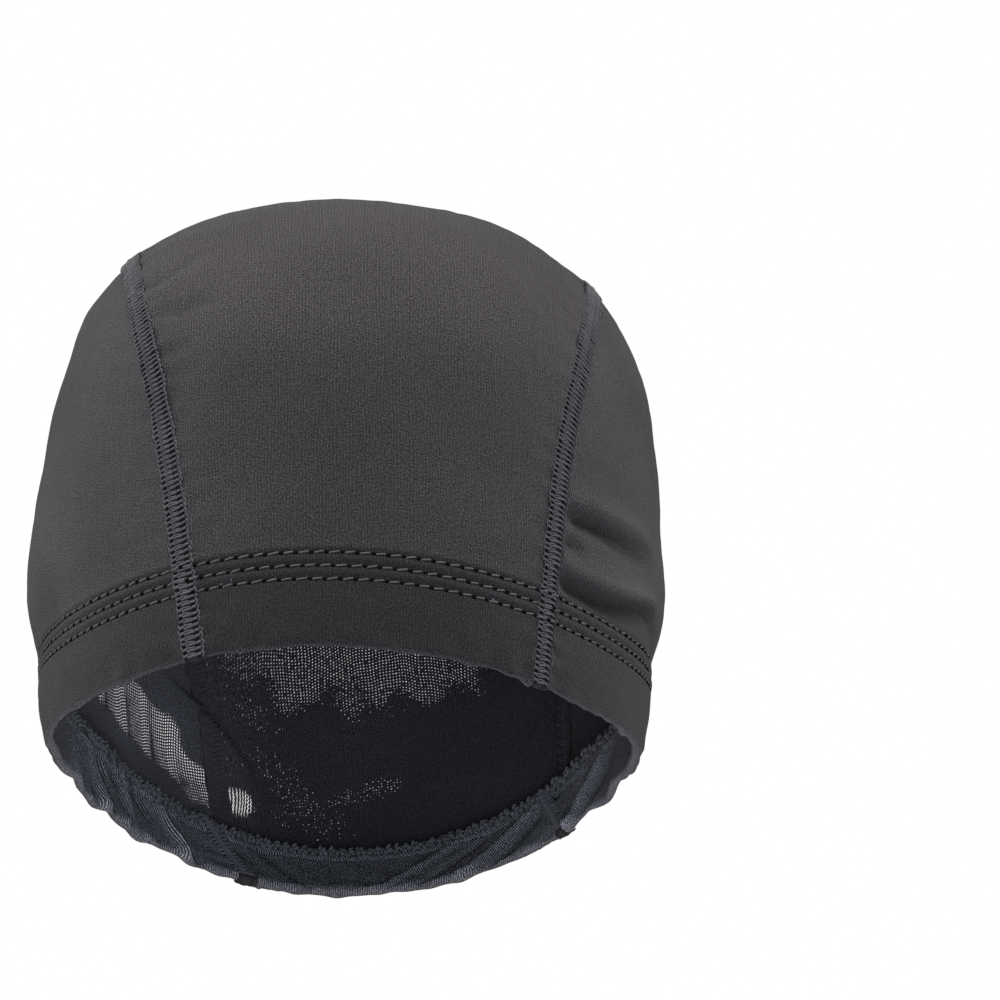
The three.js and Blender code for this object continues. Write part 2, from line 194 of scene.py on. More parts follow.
# Cloth and sewing, in millimetres. Lengths are above the rim
CLOTH = 0.3
BAND = CLOTH + 0.5
FOLD_RADIUS = 1.1
PANEL_EDGE = SEAM_WIDTH / 2 - 0.3
STITCH_ROWS = (15.0, 18.0, 21.0)
GROOVE = {"depth": 0.42, "half_width": 0.7, "inside": 0.8}
PUFF = {"height": 0.3, "turned": 14, "ends": (21.6, 23.5), "turned_share": 0.8}
SOFT = {"wave": 26, "height": 0.28, "in_hem": 0.4}
FINE = {"wave": 7, "height": 0.08, "at_rim": 0.12}
PUCKER = {"pitch": 6.5, "height": 0.24, "fade": 5.5, "drift": 2.2}
EDGE_LIFT = {"height": 0.22, "half_width": 1.5}
FREE_CLOTH = {"above": (22, 30), "below": (10, 13.5)}
BITE = {"pitch": 3.4, "height": 0.08, "middle": 18, "half_width": 5}
RIM = {"wave": 9, "height": 0.16, "half_width": 5}
RAW_EDGE = ((0.35, 61, 1.3), (0.3, 27, 0.0), (0.2, 113, 0.4))
BAND_RELIEF = {"lift": 0.1, "ridge": 0.22, "uneven": 0.1, "wave": 9}
CREASE_ANGLE = 1.1
# Lengths above the rim between which the doubled hem gives way to single cloth
SINGLE = (HEM_DEPTH + 1, HEM_DEPTH + 3)
# Offsets of the two columns of gaps in a flat seam, where the ground gets the most painted shade
SEAM_GAPS = (-2.1, 1.2)
# How far the threads lie off the cloth
SEAM_LIFT = 0.2
INNER_SEAM_LIFT = 0.25
HEM_LIFT = {"on_cloth": 0.24 - GROOVE["depth"], "on_seam": 0.6, "holes": -0.1}
LOOPER_LIFT = {"on_leaf": 2 * FOLD_RADIUS - 0.2, "on_seam": 0.3}
# How far beside a seam's edge the hem's threads start and end their climb onto it
SEAM_CLIMB = (-0.6, 0.4)
# The loops' pitch as a share of the hem stitches', and their unevenness
LOOPER = {"pitch": 0.75, "below_edge": 1, "wobble": 0.5, "unevenness": 0.25}
# Painted light on the turned-up band and its thread, beside the lining
TURNED_BAND_PAINTED_LIGHT = 0.5
TURNED_THREAD_PAINTED_LIGHT = 2.6

# The knit's pattern in millimetres: wales and slanting rows of holes
WALE = 0.7
HOLE = 0.88
HOLE_SLANT = 0.3
THREAD_TWIST = 0.55
# How far the wales drift, how strongly fuzz and wales show, how much painted light the lining and,
# more, the turned-up cloth get, how much darker a hole is, and the least light
KNIT = {
    "drift": 2.0,
    "fuzz": 6.4,
    "rib": 0.2,
    "turned_rib": 0.75,
    "lining_painted_light": 0.3,
    "turned_painted_light": 2.6,
    "hole_shade": 0.25,
    "least_light": 0.15,
}
# The holes that show where the knit opens: from what opening on, how much of it is chance, how much
# wider they are on the outer face, the widest, and how clear they are where it opens little
HOLES = {"gain": 1.6, "from": 0.42, "chance": 2.2, "outside": 0.4, "widest": 0.95, "clear": 0.68}
KNIT_BUMP = {"rib": 3, "holes": 0.4, "fuzz": 1.6, "depth": 0.00009}
LINT = {"scale": 0.11, "sizes": (0.008, 0.018), "rarity": 0.6, "share": 0.6}
LINT_COLOUR = (0.35, 0.35, 0.35, 1)

# Halvings in a search, and the steps aside from which slopes are taken
HALVINGS = 26
NUDGE = 0.5 * DEGREE
SEAM_NUDGE = 0.004
CENTRE = np.array([0.0, 0.0, WIDEST_HEIGHT])

# Faces up a side panel, along it, across the centre, in the hem's height and round its fold
FACES = {"side_up": 64, "side_along": 128, "centre": 96, "seam": 12, "hem": 40, "fold": 8}
ROW_GRADING = 1.35


def mix(a, b, share):
    return a + (b - a) * share


def ramp(value, low, high):
    """0 below low, 1 above high and a smooth climb between."""
    share = np.clip((value - low) / (high - low), 0, 1)
    return share * share * (3 - 2 * share)


def unit(vectors):
    return vectors / np.linalg.norm(vectors, axis=-1, keepdims=True)


def plan_of(points):
    return np.arctan2(points[..., 0], -points[..., 1])


def spot(points):
    """Plan angle, height and reach from the upright axis of points."""
    return plan_of(points), points[..., 2], np.hypot(points[..., 0], points[..., 1])


def crossing(low, high, quantity):
    """Where a quantity that grows from low to high crosses zero."""
    for _ in range(HALVINGS):
        middle = (low + high) / 2
        below = quantity(middle) < 0
        low = np.where(below, middle, low)
        high = np.where(below, high, middle)
    return (low + high) / 2


def plan_reach(plan):
    across = np.abs(np.sin(plan)) / (CAP_WIDTH / 2)
    along = np.where(np.cos(plan) > 0, np.cos(plan) / BROW_REACH, -np.cos(plan) / NAPE_REACH)
    return (across**PLAN_ROUNDNESS + along**PLAN_ROUNDNESS) ** (-1 / PLAN_ROUNDNESS)


def end_value(plan, name):
    return np.where(np.cos(plan) > 0, SECTIONS["brow"][name], SECTIONS["nape"][name])


def low_wall_reach(plan, height):
    depth = np.maximum(0, 1 - height / WIDEST_HEIGHT)
    side_tuck = SECTIONS["side"]["tuck"] * depth ** SECTIONS["side"]["suddenness"]
    end_tuck = end_value(plan, "tuck") * depth ** end_value(plan, "suddenness")
    return plan_reach(plan) * (1 - mix(end_tuck, side_tuck, np.sin(plan) ** 2))


def body_distance(direction):
    """Distance from the centre to the bare body in each direction."""
    plan, rise, level = spot(direction)
    dome = mix(end_value(plan, "dome"), SECTIONS["side"]["dome"], np.sin(plan) ** 2)
    upper = (level / plan_reach(plan)) ** dome + (np.maximum(rise, 0) / CROWN_RISE) ** dome
    lower = crossing(
        np.zeros_like(level),
        np.full_like(level, 2 * NAPE_REACH),
        lambda distance: distance * level - low_wall_reach(plan, WIDEST_HEIGHT + distance * rise),
    )
    return np.where(rise < 0, lower, upper ** (-1 / dome))


def rim_height(plan):
    share = sum(
        wave["even"] * np.cos(wave["waves"] * plan) + wave["skew"] * np.sin(wave["waves"] * plan)
        for wave in RIM_WAVES
    )
    return share * WIDEST_HEIGHT


def hem_uprightness(plan):
    rim = rim_height(plan)
    lean = low_wall_reach(plan, rim + HEM_DEPTH) - low_wall_reach(plan, rim)
    return HEM_DEPTH / np.hypot(HEM_DEPTH, lean)


def half_turn(degrees):
    """The same angle, from -180 to 180 degrees."""
    return (degrees + 180) % 360 - 180


def beside_line(line, plan, height, reach):
    """Distance over the cloth from a line of points, and the value that the line has at its nearest."""
    nearest, value = np.full_like(plan, np.inf), np.zeros_like(plan)
    for (from_plan, from_height, before), (to_plan, to_height, after) in zip(line, line[1:]):
        turn = half_turn(plan / DEGREE - from_plan) * DEGREE
        run = ((to_plan - from_plan) * DEGREE * reach, (to_height - from_height) * WIDEST_HEIGHT)
        place = (turn * reach, height - from_height * WIDEST_HEIGHT)
        share = np.clip((place[0] * run[0] + place[1] * run[1]) / (run[0] ** 2 + run[1] ** 2), 0, 1)
        apart = np.hypot(place[0] - share * run[0], place[1] - share * run[1])
        closer = apart < nearest
        nearest = np.where(closer, apart, nearest)
        value = np.where(closer, mix(before, after, share), value)
    return nearest, value


def bell(apart, half_width):
    return np.exp(-((apart / half_width) ** 2))


def fold_rise(fold, plan, height, reach):
    half_width, line = fold
    apart, rise = beside_line(line, plan, height, reach)
    return rise * bell(apart, half_width)


def lap_rise(plan, height, reach):
    """The lap of the left wall: soft on one side of its line and sharp on the other."""
    apart, rise = beside_line(LAP["line"], plan, height, reach)
    plans, heights, _ = zip(*LAP["line"][::-1])
    line_plan = np.interp(height / WIDEST_HEIGHT, heights, plans)
    beyond = half_turn(plan / DEGREE - line_plan) < 0
    return rise * bell(apart, np.where(beyond, LAP["edge"], LAP["width"]))


def ruffle_rise(ruffle, plan, height):
    share = np.clip((plan / DEGREE - ruffle["start"]) / (ruffle["end"] - ruffle["start"]), 0, 1)
    swing = np.sin(2 * math.pi * ruffle["waves"] * share) * np.sin(math.pi * share)
    return ruffle["depth"] * swing * bell(height - rim_height(plan), HEM_DEPTH)


def cloth_point(direction):
    """Points on the cloth's outer face, in directions from the centre."""
    distance = body_distance(direction)
    bare = direction * distance[..., None] + CENTRE
    plan, height, reach = spot(bare)
    rise = sum(fold_rise(fold, plan, height, reach) for fold in FOLDS)
    rise = rise + lap_rise(plan, height, reach)
    rise = rise + sum(ruffle_rise(ruffle, plan, height) for ruffle in RUFFLES)
    return direction * (distance + rise)[..., None] + CENTRE


def cloth_place(direction):
    """Points on the cloth's outer face and the ways that it looks."""
    steep = np.abs(direction[..., 2]) > np.abs(direction[..., 1])
    helper = np.where(steep[..., None], [0.0, 1.0, 0.0], [0.0, 0.0, 1.0])
    across = unit(np.cross(helper, direction))
    up = np.cross(direction, across)

    def run(way):
        return cloth_point(unit(direction + way * NUDGE)) - cloth_point(unit(direction - way * NUDGE))

    return cloth_point(direction), unit(np.cross(run(across), run(up)))


def hem_direction(plan, length):
    """Directions of places on the hem, by plan angle and length up from the rim."""
    height = rim_height(plan) + length * hem_uprightness(plan)
    reach = low_wall_reach(plan, height)
    point = np.stack([reach * np.sin(plan), -reach * np.cos(plan), height], axis=-1)
    return unit(point - CENTRE)


def hem_place(plan, length):
    return cloth_place(hem_direction(plan, length))


def seam_direction(seam, share):
    turn = mix(SEAM_RUN["start"], SEAM_RUN["end"], share) * DEGREE
    foot = mix(seam["brow"], seam["nape"], share)
    out = (foot + (seam["crown"] - foot) * np.sin(math.pi * share)) * DEGREE
    return np.stack([np.sin(out), -np.cos(out) * np.cos(turn), np.cos(out) * np.sin(turn)], axis=-1)


def beside_seam(seam, share, offset):
    """Directions of places beside a seam's middle line, by an offset towards +X."""
    point, out = cloth_place(seam_direction(seam, share))
    ahead = cloth_point(seam_direction(seam, share + SEAM_NUDGE))
    along = unit(ahead - cloth_point(seam_direction(seam, share - SEAM_NUDGE)))
    return unit(point + unit(np.cross(along, out)) * offset - CENTRE)


def seam_share_at(seam, length, at_nape):
    """Share of a seam's run where it stands a length above the rim."""

    def above(share):
        point = cloth_point(seam_direction(seam, 1 - share if at_nape else share))
        plan = plan_of(point)
        return (point[..., 2] - rim_height(plan)) / hem_uprightness(plan) - length

    length = np.asarray(length, dtype=float)
    share = crossing(np.full_like(length, SEAM_FOOT[0]), np.full_like(length, SEAM_FOOT[1]), above)
    return 1 - share if at_nape else share


def seam_plan_at(seam, length, offset, at_nape):
    return plan_of(beside_seam(seam, seam_share_at(seam, length, at_nape), offset))


def row_shares():
    """Shares of the way from hem to hem at which the seams and panels have their rows."""
    up, along = FACES["side_up"], FACES["side_along"]
    graded = SEAM_CORNER * (np.arange(up + 1) / up) ** ROW_GRADING
    middle = mix(SEAM_CORNER, 1 - SEAM_CORNER, np.arange(1, along) / along)
    return np.concatenate([graded, middle, 1 - graded[::-1]])


ROWS = row_shares()


def seam_line(seam, offset):
    """Directions along a line beside a seam, from the top of the brow hem to that of the nape hem."""
    first = seam_share_at(seam, HEM_TOP, False)
    last = seam_share_at(seam, HEM_TOP, True)
    line = beside_seam(seam, mix(first, last, ROWS), offset)
    line[0] = hem_direction(seam_plan_at(seam, HEM_TOP, offset, False), HEM_TOP)
    line[-1] = hem_direction(seam_plan_at(seam, HEM_TOP, offset, True), HEM_TOP)
    return line


class Grid:
    """Rows of places on the cloth, each with its facing, length above the rim and share turned in."""

    def __init__(self, point, out, length, inside):
        self.point, self.out, self.length, self.inside = point, out, length, inside

    @classmethod
    def stack(cls, parts):
        names = ("point", "out", "length", "inside")
        return cls(*(np.concatenate([getattr(part, name) for part in parts]) for name in names))

    def reversed(self):
        return Grid(self.point[::-1], self.out[::-1], self.length[::-1], self.inside[::-1])


def hem_grid(plans_at):
    """The turned-up hem: rows from its raw edge inside, down, round the rim and up the wall."""
    count, turns = FACES["hem"], FACES["fold"]
    share = np.arange(count) / count
    leaf_length = mix(HEM_DEPTH, FOLD_RADIUS, share)
    plans = plans_at(leaf_length)
    drag = HEM_DRAG * (1 - share)[:, None] / plan_reach(plans)
    ragged = raw_edge(plans) * (1 - share)[:, None] ** 2
    lengths = leaf_length[:, None] + ragged
    point, out = hem_place(plans + drag, lengths)
    leaf = Grid(point - 2 * FOLD_RADIUS * out, -out, lengths, np.ones_like(lengths))

    turn = math.pi * (1 - np.arange(turns) / turns)
    plans = plans_at(np.full(turns, FOLD_RADIUS))
    lengths = np.full_like(plans, FOLD_RADIUS)
    point, out = hem_place(plans, lengths)
    up = unit(np.array([0.0, 0.0, 1.0]) - out * out[..., 2:3])
    facing = out * np.cos(turn)[:, None, None] - up * np.sin(turn)[:, None, None]
    middle = point - out * FOLD_RADIUS
    inside = np.broadcast_to((turn / math.pi)[:, None], plans.shape)
    fold = Grid(middle + facing * FOLD_RADIUS, facing, lengths * 0, inside)

    wall_length = mix(FOLD_RADIUS, HEM_TOP, np.arange(count) / count)
    plans = plans_at(wall_length)
    lengths = np.broadcast_to(wall_length[:, None], plans.shape)
    point, out = hem_place(plans, lengths)
    wall = Grid(point, out, lengths, np.zeros_like(lengths))
    return Grid.stack([leaf, fold, wall])


def wall_grid(directions):
    point, out = cloth_place(directions)
    plan = plan_of(point)
    length = (point[..., 2] - rim_height(plan)) / hem_uprightness(plan)
    return Grid(point, out, np.maximum(length, HEM_TOP), np.zeros_like(length))


def raw_edge(plan):
    """How much further or less far than its depth the cut edge of the hem reaches."""
    return sum(height * np.sin(plan * waves + phase) for height, waves, phase in RAW_EDGE)


def patch(bottom, top, left, right, up_shares):
    """A four-sided patch of flat coordinates whose inside follows its four edges."""
    over = np.linspace(0, 1, len(bottom))[None, :, None]
    up = up_shares[:, None, None]
    sides = mix(left[:, None], right[:, None], over)
    ends = mix(bottom[None], top[None], up)
    corners = mix(mix(bottom[0], bottom[-1], over), mix(top[0], top[-1], over), up)
    return sides + ends - corners


def to_strip(direction):
    turn = np.arctan2(direction[..., 2], -direction[..., 1])
    turn = np.where(turn < -math.pi / 2, turn + 2 * math.pi, turn)
    return np.stack([turn, np.arcsin(direction[..., 0])], axis=-1)


def from_strip(flat):
    turn, out = flat[..., 0], flat[..., 1]
    return np.stack([np.sin(out), -np.cos(out) * np.cos(turn), np.cos(out) * np.sin(turn)], axis=-1)


def to_disc(direction, side):
    spread = np.arccos(side * direction[..., 0])
    turn = np.arctan2(direction[..., 2], -direction[..., 1])
    return np.stack([spread * np.cos(turn), spread * np.sin(turn)], axis=-1)


def from_disc(flat, side):
    spread = np.hypot(flat[..., 0], flat[..., 1])
    turn = np.arctan2(flat[..., 1], flat[..., 0])
    return np.stack(
        [side * np.cos(spread), -np.sin(spread) * np.cos(turn), np.sin(spread) * np.sin(turn)], axis=-1
    )


def evenly(start, end, parts):
    """Rows of evenly spaced values, from each start to each end."""
    return mix(np.atleast_1d(start)[:, None], np.atleast_1d(end)[:, None], np.linspace(0, 1, parts + 1))


def centre_grid():
    left, right = SEAMS["left"], SEAMS["right"]

    def plans_at(at_nape):
        def plans(length):
            start = seam_plan_at(left, length, PANEL_EDGE, at_nape)
            end = seam_plan_at(right, length, -PANEL_EDGE, at_nape)
            return evenly(start + 2 * math.pi if at_nape else start, end, FACES["centre"])

        return plans

    def hem_top(at_nape):
        return to_strip(hem_direction(plans_at(at_nape)(np.array([HEM_TOP]))[0], HEM_TOP))

    flat = patch(
        hem_top(False),
        hem_top(True),
        to_strip(seam_line(left, PANEL_EDGE)),
        to_strip(seam_line(right, -PANEL_EDGE)),
        ROWS,
    )
    over = wall_grid(from_strip(flat))
    return Grid.stack([hem_grid(plans_at(False)), over, hem_grid(plans_at(True)).reversed()])


def side_grid(side):
    seam = SEAMS["right" if side > 0 else "left"]
    up, along = FACES["side_up"], FACES["side_along"]

    def plans_at(length):
        brow = seam_plan_at(seam, length, side * PANEL_EDGE, False)
        nape = seam_plan_at(seam, length, side * PANEL_EDGE, True)
        return evenly(brow, nape, along) if side > 0 else evenly(nape, brow, along)

    line = to_disc(seam_line(seam, side * PANEL_EDGE), side)
    brow, crown, nape = line[: up + 1], line[up : up + along + 1], line[up + along :][::-1]
    bottom = to_disc(hem_direction(plans_at(np.array([HEM_TOP]))[0], HEM_TOP), side)
    shares = np.linspace(0, 1, up + 1) ** ROW_GRADING
    if side > 0:
        flat = patch(bottom, crown, brow, nape, shares)
    else:
        flat = patch(bottom, crown[::-1], nape, brow, shares)
    return Grid.stack([hem_grid(plans_at), wall_grid(from_disc(flat, side))])


def seam_grid(seam):
    offsets = np.linspace(-SEAM_WIDTH / 2, SEAM_WIDTH / 2, FACES["seam"] + 1)
    over = np.stack([seam_line(seam, offset) for offset in offsets], axis=1)

    def plans_at(at_nape):
        return lambda length: np.stack(
            [seam_plan_at(seam, length, offset, at_nape) for offset in offsets], axis=1
        )

    return Grid.stack([hem_grid(plans_at(False)), wall_grid(over), hem_grid(plans_at(True)).reversed()])


def lengths_along(points, axis):
    """Running length along rows or columns of points."""
    steps = np.linalg.norm(np.diff(points, axis=axis), axis=-1)
    total = np.cumsum(steps, axis=axis)
    pad = [(0, 0), (0, 0)]
    pad[axis] = (1, 0)
    return np.pad(total, pad)


def weave_of(grid):
    """Flat coordinates of the knit in millimetres: across from the middle column, and along it.

    The wales of the wall run on down through the hem.
    """
    across = lengths_along(grid.point, 1)
    across = across - across[:, across.shape[1] // 2][:, None]
    walls = np.flatnonzero(grid.length[:, 0] >= HEM_TOP)
    across = across[np.clip(np.arange(len(across)), walls[0], walls[-1])]
    return np.stack([across, lengths_along(grid.point, 0)], axis=-1)


def undulation(points, wavelength, seed, waves=9):
    """A smooth uneven field from -1 to 1 or so, from sums of waves in seeded directions."""
    draw = np.random.default_rng(seed)
    ways = unit(draw.normal(size=(waves, 3)))
    phases = draw.uniform(0, 2 * math.pi, waves)
    scales = draw.uniform(0.7, 1.4, waves)
    total = sum(
        np.sin(points @ way * (2 * math.pi * scale / wavelength) + phase)
        for way, phase, scale in zip(ways, phases, scales)
    )
    return total / math.sqrt(waves)


def groove(length):
    """Share of the stitch rows' groove at a length above the rim."""
    return sum(bell(length - row, GROOVE["half_width"]) for row in STITCH_ROWS)


def panel_relief(grid, weave, seed):
    """Rise of a panel's cloth: puckers at its seams, the hem's puffs and grooves, and soft waves."""
    length = grid.length
    across, along = weave[..., 0], weave[..., 1]
    edge = np.minimum(np.abs(across - across[:, :1]), np.abs(across - across[:, -1:]))
    uneven = undulation(grid.point, SOFT["wave"], seed)
    fine = undulation(grid.point, FINE["wave"], seed + 1)
    pucker = np.sin(along * 2 * math.pi / PUCKER["pitch"] + PUCKER["drift"] * uneven)
    pucker = pucker * np.exp(-edge / PUCKER["fade"])
    above_hem = ramp(length, *FREE_CLOTH["above"])
    free = np.maximum(above_hem, 1 - ramp(length, *FREE_CLOTH["below"]))
    soft = SOFT["height"] * uneven * mix(SOFT["in_hem"], 1, above_hem)
    rise = (soft + FINE["height"] * fine + PUCKER["height"] * pucker) * free
    rise += EDGE_LIFT["height"] * bell(edge, EDGE_LIFT["half_width"])
    below_rows = np.sin(math.pi * np.clip(length / PUFF["turned"], 0, 1)) * PUFF["turned_share"]
    in_hem = 1 - ramp(length, *PUFF["ends"])
    rise += PUFF["height"] * in_hem * np.where(length > PUFF["turned"], 1, below_rows)
    grooves = groove(length)
    on_leaf = np.where(grid.inside > 0.5, GROOVE["inside"], 1)
    rise -= (GROOVE["depth"] + PUFF["height"]) * grooves * on_leaf
    bite = np.sin(across * 2 * math.pi / BITE["pitch"] + uneven)
    rise += BITE["height"] * bite * bell(length - BITE["middle"], BITE["half_width"]) * (1 - grooves)
    rim = RIM["height"] * undulation(grid.point, RIM["wave"], seed + 2) + FINE["at_rim"] * fine
    rise += bell(length, RIM["half_width"]) * rim
    leaf = grid.inside * (1 - ramp(length, PUFF["turned"], STITCH_ROWS[1]))
    return rise + leaf * pleats(plan_of(grid.point), length)


def pleats(plan, length):
    """Rise of the turned-up cloth towards the hollow."""
    total = np.zeros_like(plan)
    for at_rim, slant, half_width, rise in LEAF_PLEATS:
        middle = at_rim + slant * length / HEM_DEPTH
        apart = half_turn(plan / DEGREE - middle) * DEGREE * plan_reach(plan)
        total += rise * bell(apart, half_width)
    return total


def seam_relief(grid, weave, seed):
    """Rise of a seam's ground: a low ridge along its middle that the sewing draws in at each side."""
    ridge = BAND_RELIEF["ridge"] * np.cos(weave[..., 0] * math.pi / SEAM_WIDTH) ** 2
    uneven = BAND_RELIEF["uneven"] * undulation(grid.point, BAND_RELIEF["wave"], seed)
    return BAND_RELIEF["lift"] + ridge + uneven


def solid_of(name, grid, rise, thickness, weave, shades):
    """A closed sheet of cloth from a grid. Its columns run rightwards as seen from outside."""
    rows, columns = grid.length.shape
    outer = grid.point + grid.out * rise[..., None]
    inner = outer - grid.out * thickness
    vertices = np.concatenate([outer.reshape(-1, 3), inner.reshape(-1, 3)]) * MM
    index = np.arange(rows * columns).reshape(rows, columns)
    below = index + rows * columns

    def quads(a, b, c, d):
        return np.stack([a, b, c, d], axis=-1).reshape(-1, 4)

    faces = np.concatenate([
        quads(index[:-1, :-1], index[:-1, 1:], index[1:, 1:], index[1:, :-1]),
        quads(below[:-1, :-1], below[1:, :-1], below[1:, 1:], below[:-1, 1:]),
        quads(index[:-1, 0], index[1:, 0], below[1:, 0], below[:-1, 0]),
        quads(index[:-1, -1], below[:-1, -1], below[1:, -1], index[1:, -1]),
        quads(index[0, :-1], below[0, :-1], below[0, 1:], index[0, 1:]),
        quads(index[-1, :-1], index[-1, 1:], below[-1, 1:], below[-1, :-1]),
    ])

    def both(values):
        """Values of the outer and inner face, from one grid of values or from a pair."""
        pair = values if values.shape[1:3] == grid.length.shape else np.stack([values, values])
        return pair.reshape(2 * rows * columns, -1)

    mesh = new_mesh(name, vertices, faces.tolist(), both(weave))
    for shade, values in shades.items():
        layer = mesh.attributes.new(shade, "FLOAT", "POINT")
        layer.data.foreach_set("value", both(values).ravel().astype(np.float32))
    mesh.set_sharp_from_angle(angle=CREASE_ANGLE)
    return new_object(name, mesh)


def new_mesh(name, vertices, faces, weave):
    """A smooth mesh with the flat coordinates of its vertices as its UV map."""
    mesh = bpy.data.meshes.new(name)
    mesh.from_pydata(vertices.tolist(), [], faces)
    layer = mesh.uv_layers.new(name="weave")
    corners = np.empty(len(mesh.loops), dtype=np.int32)
    mesh.loops.foreach_get("vertex_index", corners)
    layer.data.foreach_set("uv", np.asarray(weave, dtype=np.float32)[corners].ravel())
    mesh.polygons.foreach_set("use_smooth", np.ones(len(mesh.polygons), dtype=bool))
    mesh.update()
    return mesh


def new_object(name, mesh):
    made = bpy.data.objects.new(name, mesh)
    bpy.context.scene.collection.objects.link(made)
    return made


def hollow_wall_painted_shading(plan):
    """Painted shade on the hollow's wall, with painted light towards its left."""
    return mix(*PAINTED_SHADING["inner_tones"], ramp(-np.sin(plan), *PAINTED_SHADING["left_wall"]))


def opening_of(grid, seed):
    """How far the stretched knit opens at each place."""
    plan, height, reach = spot(grid.point)
    blotches = undulation(grid.point, THIN_EDGE["wave"], seed)
    opening = np.zeros_like(plan)
    for half_width, line in THIN_LINES:
        apart, share = beside_line(line, plan, height, reach)
        ragged = apart / half_width + THIN_EDGE["ragged"] * (THIN_EDGE["full"] - share) * blotches
        start = mix(*THIN_EDGE["soft"], share)
        opening = np.maximum(opening, share * (1 - ramp(ragged, start, THIN_EDGE["end"])))
    return opening


def cloth_shades(grid, seed):
    """How open and how single the knit is at each place, how light with its uneven tone and painted
    shading, and which face is the lining.
    """
    plan, height, reach = spot(grid.point)
    single = ramp(grid.length, *SINGLE)
    front = np.maximum(np.cos(plan), 0) ** 2
    low = 1 - ramp(height / WIDEST_HEIGHT, *PAINTED_SHADING["heights"])
    hem = mix(*PAINTED_SHADING["hem_tones"], front)
    # Painted shade on the hem, darkest in front, and low on the front of the wall
    tone = mix(hem, 1.0, single) * (1 - PAINTED_SHADING["front_fall"] * front * low)
    tone = tone * (1 + UNEVEN_TONE["share"] * undulation(grid.point, UNEVEN_TONE["wave"], seed))
    # Painted glow at the rim, for light that comes through the mesh
    rim_glow = bell(grid.length, RIM_PAINTED_GLOW["half_width"]) * (grid.inside > RIM_PAINTED_GLOW["inside"])
    tone = tone * (1 + RIM_PAINTED_GLOW["gain"] * rim_glow)
    # Painted shade in the folds' valleys and painted light on their ridges
    dent = sum(fold_rise(fold, plan, height, reach) for fold in FOLDS)
    tone = tone * (1 + PAINTED_SHADING["valley_fall"] * np.clip(dent, *PAINTED_SHADING["valleys"]))
    # Painted shade and painted light on the pleats of the turned-up cloth
    tone = tone * (1 + PAINTED_SHADING["pleat_fall"] * grid.inside * pleats(plan, grid.length))
    return {
        "open": opening_of(grid, seed + 4) * single,
        # The hollow's wall gets painted shade, with painted light at its left
        "tone": np.stack([tone, tone * mix(1, hollow_wall_painted_shading(plan), single)]),
        "single": single,
        "lining": np.stack([grid.inside, 1 - grid.inside]),
    }


class Value:
    """A number in a shader. Operators on it add Math nodes."""

    def __init__(self, shader, socket):
        self.shader, self.socket = shader, socket

    def _math(self, operation, *others):
        return self.shader.math(operation, self, *others)

    def __add__(self, other):
        return self._math("ADD", other)

    __radd__ = __add__

    def __mul__(self, other):
        return self._math("MULTIPLY", other)

    __rmul__ = __mul__

    def __sub__(self, other):
        return self._math("SUBTRACT", other)

    def __rsub__(self, other):
        return self.shader.math("SUBTRACT", other, self)

    def __gt__(self, other):
        return self._math("GREATER_THAN", other)

    def climb(self, low, high):
        """0 below low, 1 above high and a smooth climb between."""
        node = self.shader.node(
            "ShaderNodeMapRange",
            {"interpolation_type": "SMOOTHSTEP"},
            {"Value": self, "From Min": low, "From Max": high},
        )
        return Value(self.shader, node.outputs["Result"])


class Nodes:
    """A node tree that is built node by node."""

    def __init__(self, tree):
        self.tree = tree
        tree.nodes.clear()

    def node(self, kind, settings=None, inputs=None):
        made = self.tree.nodes.new(kind)
        for name, value in (settings or {}).items():
            setattr(made, name, value)
        for name, value in (inputs or {}).items():
            self.put(made.inputs[name], value)
        return made

    def put(self, socket, value):
        value = value.socket if isinstance(value, Value) else value
        if isinstance(value, bpy.types.NodeSocket):
            self.tree.links.new(value, socket)
        else:
            socket.default_value = value


